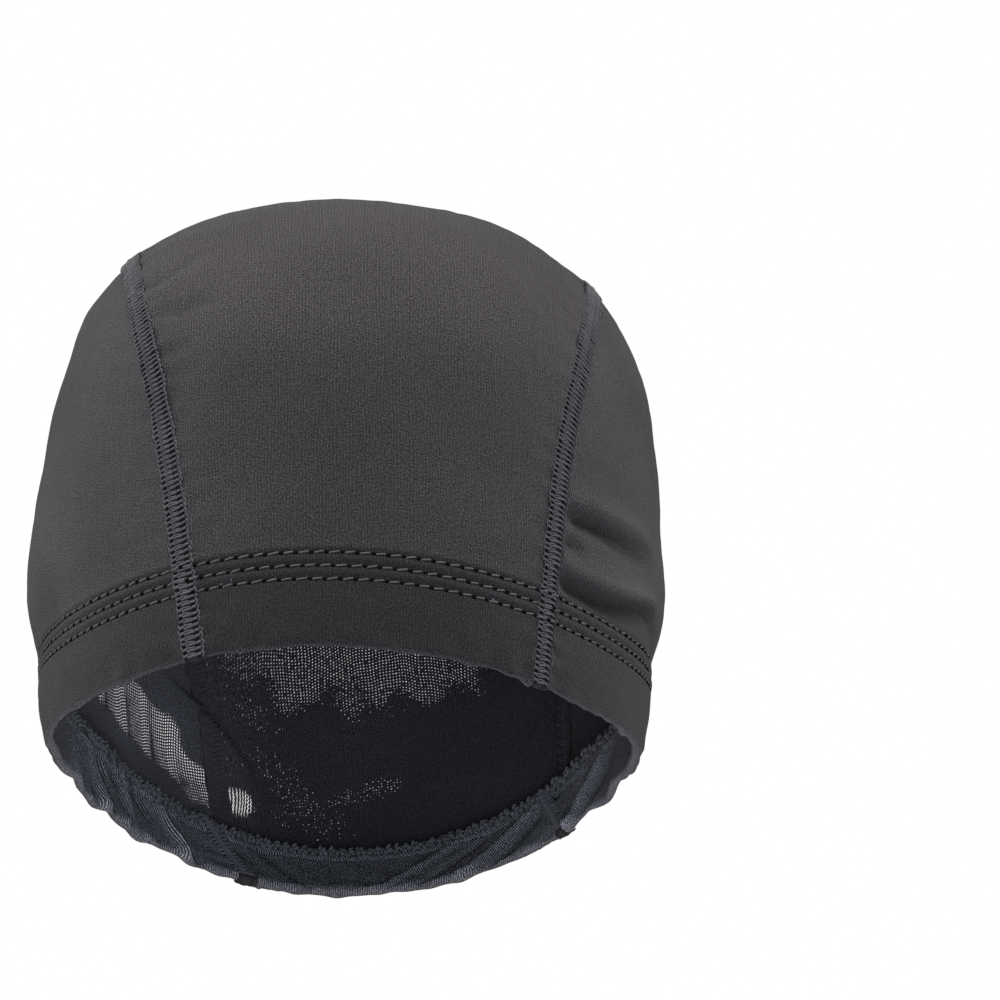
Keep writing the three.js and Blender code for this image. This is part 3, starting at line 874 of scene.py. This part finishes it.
class Shader(Nodes):
    """A material's nodes, with the ways to treat its numbers and colours."""

    def __init__(self, name):
        self.material = bpy.data.materials.new(name)
        self.material.use_nodes = True
        super().__init__(self.material.node_tree)

    def math(self, operation, *values):
        made = self.node("ShaderNodeMath", {"operation": operation}, dict(enumerate(values)))
        return Value(self, made.outputs[0])

    def attribute(self, name):
        made = self.node("ShaderNodeAttribute", {"attribute_type": "GEOMETRY", "attribute_name": name})
        return Value(self, made.outputs["Fac"])

    def weave(self):
        """The UV map's coordinates: the pair, across and along, in millimetres."""
        pair = self.node("ShaderNodeUVMap", {"uv_map": "weave"}).outputs["UV"]
        parts = self.node("ShaderNodeSeparateXYZ", None, {"Vector": pair})
        return pair, Value(self, parts.outputs["X"]), Value(self, parts.outputs["Y"])

    def wave(self, value, period, phase=0.0):
        """A cosine of the given period, from -1 to 1."""
        return self.math("COSINE", value * (2 * math.pi / period) + phase)

    def speckle(self, vector, scale, detail=2.0):
        made = self.node(
            "ShaderNodeTexNoise",
            {"noise_dimensions": "3D"},
            {"Vector": vector, "Scale": scale, "Detail": detail, "Roughness": 0.6},
        )
        return Value(self, made.outputs["Fac"])

    def lint(self, pair):
        """Small specks, few and far between."""
        given = {"Vector": pair, "Scale": LINT["scale"], "Randomness": 1.0}
        cells = self.node("ShaderNodeTexVoronoi", {"feature": "F1"}, given).outputs
        chance = self.node("ShaderNodeSeparateXYZ", None, {"Vector": cells["Color"]}).outputs["X"]
        near = 1 - Value(self, cells["Distance"]).climb(*LINT["sizes"])
        return near * (Value(self, chance) > LINT["rarity"])

    def blend(self, factor, first, second):
        made = self.node("ShaderNodeMix", {"data_type": "RGBA"}, {"Factor": factor})
        self.put(made.inputs[6], first)
        self.put(made.inputs[7], second)
        return made.outputs[2]

    def scaled(self, colour, amount):
        made = self.node("ShaderNodeVectorMath", {"operation": "SCALE"}, {0: colour, "Scale": amount})
        return made.outputs[0]

    def finish(self, inputs, height=None, depth=0.0001):
        """The surface itself, with a bump of the given depth in metres."""
        if height is not None:
            given = {"Strength": 1.0, "Distance": depth, "Height": height}
            bump = self.node("ShaderNodeBump", None, given)
            inputs = {**inputs, "Normal": bump.outputs["Normal"]}
        surface = self.node("ShaderNodeBsdfPrincipled", None, inputs)
        output = self.node("ShaderNodeOutputMaterial")
        self.tree.links.new(surface.outputs["BSDF"], output.inputs["Surface"])
        return self.material


def knit_material(settings):
    """Fine mesh knit: upright wales, slanting rows of holes that open where it is thin, and lint."""
    shader = Shader("Mesh knit")
    pair, across, along = shader.weave()
    drift = shader.speckle(pair, 0.06, 1.0)
    across = across + KNIT["drift"] * (drift - 0.5)
    wale = shader.wave(across, WALE)
    holes = 0.5 * (shader.wave(across, HOLE) + shader.wave(along + HOLE_SLANT * across, HOLE))
    fuzz = shader.speckle(pair, 2.6, 3.0)
    coarse = shader.speckle(pair, 0.5)
    single = shader.attribute("single")
    lining = shader.attribute("lining")
    opening = shader.attribute("open")
    turned = lining * (1 - single)
    rib = KNIT["rib"] + KNIT["turned_rib"] * turned
    light = shader.attribute("tone") * (1 + rib * wale) * (1 + KNIT["fuzz"] * (fuzz - 0.5))
    light = light * (0.8 + 0.4 * coarse)
    # Painted light on the lining and, more, on the turned-up cloth in the hollow
    light = light * (1 + KNIT["lining_painted_light"] * lining + KNIT["turned_painted_light"] * turned)
    light = light * (1 - KNIT["hole_shade"] * single * holes.climb(0.2, 0.8))
    light = shader.math("MAXIMUM", light, KNIT["least_light"])
    # The lining's face takes the lining colour, with its painted bluish light
    face = shader.blend(lining, (*settings.knit_colour, 1), (*settings.lining_colour_with_painted_light, 1))
    colour = shader.blend(shader.lint(pair) * LINT["share"], shader.scaled(face, light), LINT_COLOUR)
    chosen = shader.speckle(pair, 1.0, 1.0)
    chance = HOLES["chance"] * (1 - opening) * (chosen - 0.5)
    size = HOLES["gain"] * (opening - HOLES["from"] + chance) + HOLES["outside"] * (1 - lining)
    level = 1 - shader.math("MINIMUM", size, HOLES["widest"])
    clear = HOLES["clear"] + (1 - HOLES["clear"]) * opening.climb(0.6, 0.9)
    alpha = 1 - (holes - level).climb(0.0, 0.1) * clear * (opening > 0.05)
    height = KNIT_BUMP["rib"] * rib * wale - KNIT_BUMP["holes"] * holes * single
    return shader.finish(
        {
            "Base Color": colour,
            "Alpha": alpha,
            "Roughness": 0.86,
            "Specular IOR Level": 0.25,
            "Sheen Weight": 0.12,
            "Sheen Roughness": 0.5,
        },
        height + KNIT_BUMP["fuzz"] * fuzz,
        KNIT_BUMP["depth"],
    )


def thread_material(name, colour):
    """Matt spun thread with a twist that runs along it."""
    shader = Shader(name)
    _, along, around = shader.weave()
    twist = shader.wave(along, THREAD_TWIST, around * (2 * math.pi))
    place = shader.node("ShaderNodeTexCoord").outputs["Object"]
    fuzz = shader.speckle(place, 2600.0)
    coarse = shader.speckle(place, 420.0)
    light = (0.82 + 0.2 * twist) * (0.5 + 1.0 * fuzz) * (0.7 + 0.6 * coarse)
    return shader.finish(
        {
            "Base Color": shader.scaled(tuple(colour), light),
            "Roughness": 0.75,
            "Specular IOR Level": 0.3,
            "Sheen Weight": 0.15,
        },
        0.6 * twist + fuzz,
        0.00006,
    )


def needle_hole_material():
    """Painted shade: the near-black inside of a needle hole."""
    return Shader("Needle hole").finish(
        {"Base Color": (0.008, 0.008, 0.009, 1), "Roughness": 1.0, "Specular IOR Level": 0.0}
    )


def ground_material(settings):
    """The cloth under a flat seam's threads: close, with painted shade under the threads, darkest in the
    two columns of gaps, and painted light where it faces the hollow.
    """
    shader = Shader("Seam ground")
    pair, across, _ = shader.weave()
    fuzz = shader.speckle(pair, 2.2)
    columns = [shader.math("ABSOLUTE", across - middle) for middle in SEAM_GAPS]
    gaps = sum((1 - column.climb(0.5, 0.8) for column in columns), 0.0)
    # Painted shade under the threads, darkest in the gap columns
    dark = (0.3 + 0.5 * fuzz) * (1 - 0.68 * gaps)
    # Painted light where the band faces the hollow
    light = dark + shader.attribute("lining") * (0.8 + 1.6 * fuzz - dark)
    return shader.finish(
        {
            "Base Color": shader.scaled(tuple(settings.knit_colour), light),
            "Roughness": 0.9,
            "Specular IOR Level": 0.2,
        },
        fuzz,
    )


def tube(points, radius, sides):
    """A closed thread through points, with its weave as length along and share around."""
    points = np.asarray(points, dtype=float)
    tangent = unit(np.gradient(points, axis=0))
    upright = np.abs(tangent[:, 2]).max() >= 0.95
    helper = np.array([1.0, 0.0, 0.0] if upright else [0.0, 0.0, 1.0])
    side = unit(np.cross(tangent, helper))
    top = np.cross(side, tangent)
    angle = np.arange(sides) * 2 * math.pi / sides
    rings = points[:, None] + radius * (
        side[:, None] * np.cos(angle)[None, :, None] + top[:, None] * np.sin(angle)[None, :, None]
    )
    along = np.concatenate([[0], np.cumsum(np.linalg.norm(np.diff(points, axis=0), axis=1))])
    weave = np.stack(np.broadcast_arrays(along[:, None], (angle / (2 * math.pi))[None]), axis=-1)
    count = len(points)
    ring = np.arange(count * sides).reshape(count, sides)
    ahead = np.roll(ring, -1, axis=1)
    wall = np.stack([ring[:-1], ahead[:-1], ahead[1:], ring[1:]], axis=-1).reshape(-1, 4)
    faces = [list(face[::-1]) for face in wall] + [list(ring[0]), list(ring[-1][::-1])]
    return rings.reshape(-1, 3), faces, weave.reshape(-1, 2)


def stitch_object(name, threads):
    """One repeat of sewing from threads: each a list of points, a radius and a number of sides."""
    vertices, faces, weave = [], [], []
    for thread_shape in threads:
        points, thread_faces, thread_weave = tube(*thread_shape)
        before = sum(len(others) for others in vertices)
        faces += [[corner + before for corner in face] for face in thread_faces]
        vertices.append(points)
        weave.append(thread_weave)
    return new_object(name, new_mesh(name, np.concatenate(vertices) * MM, faces, np.concatenate(weave)))


class GeometryTree(Nodes):
    """A geometry node tree."""

    def __init__(self, name):
        super().__init__(bpy.data.node_groups.new(name, "GeometryNodeTree"))

    def socket(self, name, kind, in_out="INPUT"):
        self.tree.interface.new_socket(name=name, in_out=in_out, socket_type=kind)

    def result(self, *given):
        """The first output of a new node."""
        return self.node(*given).outputs[0]

    def math(self, operation, first, second):
        return self.result("ShaderNodeMath", {"operation": operation}, {0: first, 1: second})

    def random(self, low, high, seed):
        values = {"Min": low, "Max": high, "Seed": seed}
        return self.result("FunctionNodeRandomValue", {"data_type": "FLOAT_VECTOR"}, values)

    def way(self, name):
        kind = "GeometryNodeInputNamedAttribute"
        return self.node(kind, {"data_type": "FLOAT_VECTOR"}, {"Name": name}).outputs["Attribute"]


STITCHING = "Stitches along a path"
STITCHING_INPUTS = {
    "Path": "NodeSocketGeometry",
    "Stitch": "NodeSocketObject",
    "Pitch": "NodeSocketFloat",
    "Wobble": "NodeSocketFloat",
    "Unevenness": "NodeSocketFloat",
    "Seed": "NodeSocketInt",
    "Thread": "NodeSocketMaterial",
}


def stitching_tree():
    """Repeats a stitch along a path, standing on the cloth, each a little uneven."""
    made = GeometryTree(STITCHING)
    for name, kind in STITCHING_INPUTS.items():
        made.socket(name, kind)
    made.socket("Sewing", "NodeSocketGeometry", "OUTPUT")
    given = made.node("NodeGroupInput").outputs
    curve = made.result("GeometryNodeMeshToCurve", None, {"Mesh": given["Path"]})
    spaced = made.result(
        "GeometryNodeResampleCurve", {"mode": "LENGTH"}, {"Curve": curve, "Length": given["Pitch"]}
    )
    align = "FunctionNodeAlignRotationToVector"
    standing = made.result(align, {"axis": "Z"}, {"Vector": made.way("facing")})
    lined = made.result(
        align, {"axis": "Y", "pivot_axis": "Z"}, {"Rotation": standing, "Vector": made.way("along")}
    )
    turn = made.random(made.math("MULTIPLY", given["Wobble"], -1.0), given["Wobble"], given["Seed"])
    turned = made.result(
        "FunctionNodeRotateRotation", {"rotation_space": "LOCAL"}, {"Rotation": lined, "Rotate By": turn}
    )
    smallest = made.math("SUBTRACT", 1.0, given["Unevenness"])
    largest = made.math("ADD", 1.0, given["Unevenness"])
    stitch = made.node(
        "GeometryNodeObjectInfo",
        {"transform_space": "ORIGINAL"},
        {"Object": given["Stitch"], "As Instance": True},
    ).outputs["Geometry"]
    size = made.random(smallest, largest, given["Seed"])
    placing = {"Points": spaced, "Instance": stitch, "Rotation": turned, "Scale": size}
    placed = made.result("GeometryNodeInstanceOnPoints", None, placing)
    real = made.result("GeometryNodeRealizeInstances", None, {"Geometry": placed})
    dressed = {"Geometry": real, "Material": given["Thread"]}
    finished = made.result("GeometryNodeSetMaterial", None, dressed)
    made.node("NodeGroupOutput", None, {"Sewing": finished})
    return made.tree


def path_object(name, lines):
    """Lines of points, each with the ways that it faces and runs, as one mesh of edges."""
    vertices, edges = [], []
    ways = {"facing": [], "along": []}
    for points, facing, along, closed in lines:
        index = sum(len(v) for v in vertices) + np.arange(len(points))
        pairs = np.stack([index, np.roll(index, -1)], axis=1)
        edges.append(pairs if closed else pairs[:-1])
        vertices.append(points)
        ways["facing"].append(facing)
        ways["along"].append(along)
    mesh = bpy.data.meshes.new(name)
    mesh.from_pydata((np.concatenate(vertices) * MM).tolist(), np.concatenate(edges).tolist(), [])
    for way, values in ways.items():
        layer = mesh.attributes.new(way, "FLOAT_VECTOR", "POINT")
        layer.data.foreach_set("vector", np.concatenate(values).astype(np.float32).ravel())
    return new_object(name, mesh)


def sew(name, lines, stitch, pitch, thread, wobble=0.06, unevenness=0.08, seed=1):
    """A plain mesh of stitches along lines."""
    tree = bpy.data.node_groups.get(STITCHING) or stitching_tree()
    path = path_object(name + "_path", lines)
    modifier = path.modifiers.new("Stitches", "NODES")
    modifier.node_group = tree
    values = {
        "Stitch": stitch,
        "Pitch": pitch * MM,
        "Wobble": wobble,
        "Unevenness": unevenness,
        "Seed": seed,
        "Thread": thread,
    }
    for item in tree.interface.items_tree:
        if item.item_type == "SOCKET" and item.in_out == "INPUT" and item.name in values:
            modifier[item.identifier] = values[item.name]
    bpy.context.view_layer.update()
    graph = bpy.context.evaluated_depsgraph_get()
    mesh = bpy.data.meshes.new_from_object(path.evaluated_get(graph))
    path.modifiers.remove(modifier)
    bpy.data.objects.remove(path)
    bpy.data.objects.remove(stitch)
    if not mesh.polygons:
        raise RuntimeError(f"{name} came out without faces")
    if not mesh.materials:
        mesh.materials.append(thread)
    return new_object(name, mesh)


def arc_points(start, end, rise, count=3):
    """Points of a thread that leaves the cloth at start, rises over it and goes in at end."""
    share = np.linspace(0, 1, count)[:, None]
    line = mix(np.asarray(start, dtype=float), np.asarray(end, dtype=float), share)
    line[:, 2] += rise * np.sin(math.pi * share[:, 0])
    return line


def seam_stitch(slant):
    """One repeat of a flat seam, seen from outside and running up. Slant is up to the right."""
    return [
        ([(-2.98, -0.68, 0.06), (-2.72, 0.0, 0.16), (-2.98, 0.68, 0.06)], 0.15, 3),
        (arc_points((-2.75, -0.12 * slant, 0.05), (-1.3, 0.14 * slant, 0.1), 0.16), 0.3, 4),
        (arc_points((-1.5, -0.42, 0.2), (0.7, -0.12, 0.2), 0.28), 0.25, 4),
        (arc_points((-1.5, 0.34, 0.2), (0.65, 0.22, 0.2), 0.22), 0.2, 4),
        (arc_points((0.4, -0.14 * slant, 0.1), (2.2, 0.18 * slant, 0.05), 0.16), 0.3, 4),
        ([(2.3, -0.68, 0.12), (2.85, 0.0, 0.2), (2.3, 0.68, 0.12)], 0.19, 3),
    ]


def seam_back_stitch():
    """One repeat of a flat seam's inner face: crossing zigzags."""
    return [
        (arc_points((-2.6, -1.3, 0.0), (0.1, -0.1, 0.0), 0.25), 0.22, 4),
        (arc_points((0.1, -0.1, 0.0), (2.6, -1.1, 0.0), 0.25), 0.22, 4),
        (arc_points((2.6, -0.9, 0.0), (-0.1, 0.9, 0.0), 0.25), 0.22, 4),
        (arc_points((-0.1, 0.9, 0.0), (-2.6, 0.2, 0.0), 0.25), 0.22, 4),
    ]


def hem_stitch():
    """One dash of a hem row, slanted a little up to the right."""
    return [([(0.2, -1.3, -0.15), (0.1, -0.75, 0.16), (-0.08, 0.5, 0.18), (-0.2, 1.05, -0.15)], 0.2, 5)]


def needle_hole():
    """A near-black piece of painted shade for the dip between two dashes of a hem row."""
    return [([(0.12, 1.25, 0.0), (0.12, 2.15, 0.0)], 0.38, 6)]


def looper_stitch():
    """One repeat of the bunched loops that cover the raw edge inside the hem."""
    return [
        ([(-1.9, -1.0, 0.2), (-1.2, -0.5, 0.75), (-0.5, -0.8, 0.3)], 0.55, 5),
        ([(-0.5, -0.2, 0.3), (0.3, -0.7, 0.8), (0.8, -1.3, 0.3)], 0.52, 5),
        ([(0.6, 0.5, 0.3), (1.2, -0.1, 0.7), (1.7, -0.5, 0.2)], 0.5, 5),
        ([(-1.6, 0.7, 0.2), (-0.8, 0.4, 0.7), (0.1, 0.9, 0.4)], 0.5, 5),
        (arc_points((-3.4, -1.2, -0.1), (-1.6, -0.2, 0.2), 0.3), 0.3, 4),
        (arc_points((-3.3, 0.4, -0.1), (-1.5, 1.0, 0.2), 0.3), 0.3, 4),
    ]


def hem_line(length, count=720):
    """Points right round the outside of the hem at a length above the rim, with their ways."""
    plan = np.linspace(-math.pi, math.pi, count, endpoint=False)
    point, out = hem_place(plan, np.full(count, length))
    return plan, point, out, unit(np.roll(point, -1, axis=0) - np.roll(point, 1, axis=0))


def over_seams(plan, length):
    """Share of the way up onto a seam's band, round the hem at a length above the rim."""
    share = np.zeros_like(plan)
    start, end = (SEAM_WIDTH / 2 + aside for aside in SEAM_CLIMB)
    for seam in SEAMS.values():
        for at_nape in (False, True):
            middle = float(seam_plan_at(seam, length, 0.0, at_nape))
            apart = np.abs((plan - middle + math.pi) % (2 * math.pi) - math.pi) * plan_reach(plan)
            share = np.maximum(share, 1 - ramp(apart, start, end))
    return share


def dress(piece, slot_name, *nodes):
    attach(piece, ROOT)
    if nodes:
        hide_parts(*nodes)
    return piece


def colour_property(name, description, default):
    return FloatVectorProperty(
        name=name, description=description, subtype="COLOR", size=3, min=0, max=1, default=default
    )


def angle_property(name, description, degrees):
    return FloatProperty(name=name, description=description, subtype="ANGLE", default=degrees * DEGREE)


class WigCapCloth(bpy.types.PropertyGroup):
    knit_colour: colour_property("Knit colour", "Colour of the mesh knit", (0.085, 0.0765, 0.0815))
    # The lining's colour is the knit's, made lighter and bluer with painted bluish light
    lining_colour_with_painted_light: colour_property(
        "Lining colour with painted light", "Colour of the knit's face in the hollow", (0.12, 0.123, 0.142)
    )
    thread_colour: colour_property(
        "Seam thread colour", "Colour of the flat seams' thread", (0.2, 0.195, 0.21)
    )
    hem_thread_colour: colour_property(
        "Hem thread colour", "Colour of the hem's cover stitches", (0.21, 0.205, 0.21)
    )
    # The looper thread's own colour, made lighter and bluer with the lining's painted bluish light
    looper_thread_colour_with_painted_light: colour_property(
        "Looper thread colour", "Colour of the loops over the hem's raw edge", (0.26, 0.263, 0.3)
    )
    seam_pitch: FloatProperty(
        name="Seam pitch",
        description="Length of one repeat of the flat seams, in millimetres",
        default=1.3,
        min=0.8,
        max=4,
    )
    hem_pitch: FloatProperty(
        name="Hem pitch",
        description="Length of one hem stitch, in millimetres",
        default=3.4,
        min=2,
        max=6,
    )
    seed: IntProperty(name="Seed", description="Seed of everything uneven", default=7, min=0)


class WigCapStage(bpy.types.PropertyGroup):
    azimuth: angle_property("Azimuth", "Camera's turn round the cap", 1.362)
    elevation: angle_property("Elevation", "Camera's climb above the cap", -22.791)
    roll: angle_property("Roll", "Camera's turn about its own line of sight", 1.459)
    distance: FloatProperty(
        name="Distance", description="From the camera to the cap's middle", unit="LENGTH", default=0.8
    )
    lens: FloatProperty(name="Lens", description="Focal length for a 36 mm sensor, in mm", default=114.6)
    place: FloatVectorProperty(
        name="Place in picture",
        description="Where the cap's middle stands, as shares of the picture from its top left corner",
        size=2,
        default=(0.350, 0.524),
    )
    floor_height: FloatProperty(
        name="Floor height", description="Height of the floor", unit="LENGTH", default=-0.9
    )


def material(name, make, *given):
    """The material of a name, made at its first use."""
    return bpy.data.materials.get(name) or make(*given)


def thread(settings, name):
    colours = {
        "Seam thread": settings.thread_colour,
        "Hem thread": settings.hem_thread_colour,
        "Looper thread": settings.looper_thread_colour_with_painted_light,
        "Inner seam thread": settings.lining_colour_with_painted_light,
        # The turned-up seam's thread: the lining colour made lighter with painted light
        "Turned seam thread": [TURNED_THREAD_PAINTED_LIGHT * value for value in settings.lining_colour_with_painted_light],
    }
    return material(name, thread_material, name, colours[name])


def sew_piece(name, *given, **settings):
    return dress(sew(name, *given, **settings), THREAD_SLOT)


class WIGCAP_OT_panels(bpy.types.Operator):
    """Make the three knit panels with their turned-up hem"""

    bl_idname = "wigcap.panels"
    bl_label = "Knit Panels"

    def execute(self, context):
        settings = context.scene.wig_cap_cloth
        seed = settings.seed
        knit = material("Mesh knit", knit_material, settings)
        grids = {"centre": centre_grid(), "left": side_grid(-1), "right": side_grid(1)}
        for number, (name, grid) in enumerate(grids.items()):
            weave = weave_of(grid)
            rise = panel_relief(grid, weave, seed + 10 * number)
            made = solid_of(f"{name}_panel_cloth", grid, rise, CLOTH, weave, cloth_shades(grid, seed))
            made.data.materials.append(knit)
            dress(made, KNIT_SLOT, f"{name}_panel")
        return {"FINISHED"}


class WIGCAP_OT_seams(bpy.types.Operator):
    """Make the two flat seams with the thread on both faces"""

    bl_idname = "wigcap.seams"
    bl_label = "Flat Seams"

    def execute(self, context):
        settings = context.scene.wig_cap_cloth
        for number, name in enumerate(SEAMS):
            self.make_seam(settings, name, settings.seed + number)
        return {"FINISHED"}

    def make_seam(self, settings, name, seed):
        grid = seam_grid(SEAMS[name])
        weave = weave_of(grid)
        # The band's lining value: painted light on its turned-up part, and the hollow wall's painted
        # shading on its inner face
        shade = (1 - grid.inside) * hollow_wall_painted_shading(plan_of(grid.point))
        shades = {"lining": np.stack([grid.inside * TURNED_BAND_PAINTED_LIGHT, shade])}
        band = solid_of(f"{name}_seam_band", grid, seam_relief(grid, weave, seed), BAND, weave, shades)
        band.data.materials.append(material("Seam ground", ground_material, settings))
        dress(band, THREAD_SLOT, f"{name}_seam")

        middle = FACES["seam"] // 2
        points, out = grid.point[:, middle], grid.out[:, middle]
        along = unit(np.cross(out, grid.point[:, -1] - grid.point[:, 0]))
        hem, rim = FACES["hem"], FACES["hem"] + FACES["fold"]

        def line(rows, lift, face=1):
            return points[rows] + out[rows] * lift, face * out[rows], along[rows], False

        outer = line(slice(rim, -rim), SEAM_LIFT)
        turned = [line(slice(hem), SEAM_LIFT), line(slice(-hem, None), SEAM_LIFT)]
        inner = line(slice(hem + rim, -hem - rim), -(CLOTH + INNER_SEAM_LIFT), -1)
        stitch = seam_stitch(1 if name == "left" else -1)
        pitch = settings.seam_pitch
        for part, lines, threads, length, look, start in (
            ("thread", [outer], stitch, pitch, "Seam thread", seed),
            ("hem_thread", turned, stitch, pitch, "Turned seam thread", seed + 9),
            ("inner_thread", [inner], seam_back_stitch(), 2 * pitch, "Inner seam thread", seed + 5),
        ):
            made = stitch_object("seam_stitch", threads)
            sew_piece(f"{name}_seam_{part}", lines, made, length, thread(settings, look), seed=start)


class WIGCAP_OT_hem_stitches(bpy.types.Operator):
    """Sew the rows of cover stitch round the hem, and their loops inside"""

    bl_idname = "wigcap.hem_stitches"
    bl_label = "Hem Stitches"

    def execute(self, context):
        settings = context.scene.wig_cap_cloth
        pitch, seed = settings.hem_pitch, settings.seed
        lines = []
        for length in STITCH_ROWS:
            plan, point, out, along = hem_line(length)
            on_seam = over_seams(plan, length)
            lift = mix(HEM_LIFT["on_cloth"], HEM_LIFT["on_seam"], on_seam)
            lines.append((point + out * lift[:, None], out, along, True))
        low = [(point + out * HEM_LIFT["holes"], out, *rest) for point, out, *rest in lines]
        dash = stitch_object("hem_stitch", hem_stitch())
        sew_piece("hem_stitch_rows", lines, dash, pitch, thread(settings, "Hem thread"), seed=seed)
        # Painted shade: near-black pieces at the needle holes between the dashes
        hole = stitch_object("needle_hole", needle_hole())
        shade = material("Needle hole", needle_hole_material)
        sew_piece("hem_needle_holes", low, hole, pitch, shade, seed=seed)

        length = HEM_DEPTH - LOOPER["below_edge"]
        plan, point, out, along = hem_line(length)
        lift = LOOPER_LIFT["on_leaf"] + LOOPER_LIFT["on_seam"] * over_seams(plan, length)
        sew_piece(
            "hem_looper_thread",
            [(point - out * lift[:, None], -out, along, True)],
            stitch_object("looper_stitch", looper_stitch()),
            LOOPER["pitch"] * pitch,
            thread(settings, "Looper thread"),
            wobble=LOOPER["wobble"],
            unevenness=LOOPER["unevenness"],
            seed=seed + 3,
        )
        return {"FINISHED"}


# How strongly the white world lights the cap
WORLD_STRENGTH = 0.1
# The lights: name, place in metres, size in metres, power in watts and colour
LIGHTS = (
    ("Top light", (0.0, -1.0, 1.1), 1.0, 9.0),
    ("Left light", (-1.1, 0.1, 0.6), 0.7, 5.0),
    ("Right light", (1.1, 0.1, 0.6), 0.7, 3.0),
    ("Left front light", (-1.0, -0.8, 0.5), 0.7, 3.5),
    ("Right front light", (1.0, -0.8, 0.5), 0.7, 3.0),
    ("Low light", (0.1, -1.0, -0.45), 0.6, 2.5, (0.8, 0.87, 1.0)),
)


class WIGCAP_OT_stage(bpy.types.Operator):
    """Set the floor, the soft lights and the camera"""

    bl_idname = "wigcap.stage"
    bl_label = "Stage"

    def execute(self, context):
        scene = context.scene
        settings = scene.wig_cap_stage
        floor = new_floor(settings.floor_height)
        light_world(scene)
        for name, *given in LIGHTS:
            add_light(name, *given)
        scene.camera = add_camera(settings)
        scene.view_settings.view_transform = "Standard"
        return {"FINISHED"}


def new_floor(height):
    half = 3.0
    corners = [(x * half, y * half, height) for x, y in ((-1, -1), (1, -1), (1, 1), (-1, 1))]
    mesh = bpy.data.meshes.new("floor")
    mesh.from_pydata(corners, [], [(0, 1, 2, 3)])
    shader = Shader("Pale floor")
    mesh.materials.append(shader.finish({"Base Color": (0.8, 0.8, 0.8, 1), "Roughness": 0.9}))
    return new_object("floor", mesh)


def light_world(scene):
    """White to the camera, and a dim even light to the cap."""
    world = bpy.data.worlds.new("Studio")
    world.use_nodes = True
    scene.world = world
    nodes = Nodes(world.node_tree)
    white = (1, 1, 1, 1)
    seen = nodes.node("ShaderNodeBackground", None, {"Color": white, "Strength": 1.0})
    lit = nodes.node("ShaderNodeBackground", None, {"Color": white, "Strength": WORLD_STRENGTH})
    path = nodes.node("ShaderNodeLightPath").outputs["Is Camera Ray"]
    both = nodes.node("ShaderNodeMixShader", None, {0: path, 1: lit.outputs[0], 2: seen.outputs[0]})
    nodes.node("ShaderNodeOutputWorld", None, {"Surface": both.outputs[0]})


def add_light(name, place, size, power, colour=(1, 1, 1)):
    lamp = bpy.data.lights.new(name, "AREA")
    lamp.shape = "DISK"
    lamp.size = size
    lamp.energy = power
    lamp.color = colour
    made = bpy.data.objects.new(name, lamp)
    made.location = place
    aim = Vector((0, 0, WIDEST_HEIGHT * MM)) - made.location
    made.rotation_euler = aim.to_track_quat("-Z", "Y").to_euler()
    bpy.context.scene.collection.objects.link(made)
    return made


def add_camera(settings):
    """The camera at the photograph's angle, turned so that the cap's middle stands at its place."""
    lens = bpy.data.cameras.new("Camera")
    lens.lens = settings.lens
    lens.sensor_width = 36.0
    lens.clip_start, lens.clip_end = 0.01, 20.0
    azimuth, elevation, roll = settings.azimuth, settings.elevation, settings.roll
    back = Vector((
        math.sin(azimuth) * math.cos(elevation),
        -math.cos(azimuth) * math.cos(elevation),
        math.sin(elevation),
    ))
    right = Vector((math.cos(azimuth), math.sin(azimuth), 0))
    up = back.cross(right)
    rolled_right = right * math.cos(roll) + up * math.sin(roll)
    rolled_up = up * math.cos(roll) - right * math.sin(roll)
    looking = Matrix((rolled_right, rolled_up, back)).transposed()
    half = lens.sensor_width / 2 / lens.lens
    across, down = settings.place
    aside = Vector(((across - 0.5) * 2 * half, (0.5 - down) * 2 * half, -1)).normalized()
    turn = aside.rotation_difference(Vector((0, 0, -1))).to_matrix()
    made = bpy.data.objects.new("Camera", lens)
    made.rotation_mode = "QUATERNION"
    made.rotation_quaternion = (looking @ turn).to_quaternion()
    made.location = Vector(CENTRE * MM) + back * settings.distance
    bpy.context.scene.collection.objects.link(made)
    return made


class WIGCAP_PT_sidebar(bpy.types.Panel):
    """Sizes, colours and steps of the mesh wig cap"""

    bl_label = "Mesh Wig Cap"
    bl_idname = "WIGCAP_PT_sidebar"
    bl_space_type = "VIEW_3D"
    bl_region_type = "UI"
    bl_category = "Wig Cap"

    def draw(self, context):
        column = self.layout.column()
        for group in (context.scene.wig_cap_cloth, context.scene.wig_cap_stage):
            for name in group.bl_rna.properties.keys():
                if name not in ("rna_type", "name"):
                    column.prop(group, name)
        for step in STEPS:
            column.operator(step.bl_idname)


STEPS = (WIGCAP_OT_panels, WIGCAP_OT_seams, WIGCAP_OT_hem_stitches, WIGCAP_OT_stage)
CLASSES = (WigCapCloth, WigCapStage, *STEPS, WIGCAP_PT_sidebar)


def register():
    for item in CLASSES:
        bpy.utils.register_class(item)
    bpy.types.Scene.wig_cap_cloth = PointerProperty(type=WigCapCloth)
    bpy.types.Scene.wig_cap_stage = PointerProperty(type=WigCapStage)


def unregister():
    del bpy.types.Scene.wig_cap_stage
    del bpy.types.Scene.wig_cap_cloth
    for item in reversed(CLASSES):
        bpy.utils.unregister_class(item)


def main():
    register()
    bpy.ops.wigcap.panels()
    bpy.ops.wigcap.seams()
    bpy.ops.wigcap.hem_stitches()
    bpy.ops.wigcap.stage()


if __name__ == "__main__":
    main()
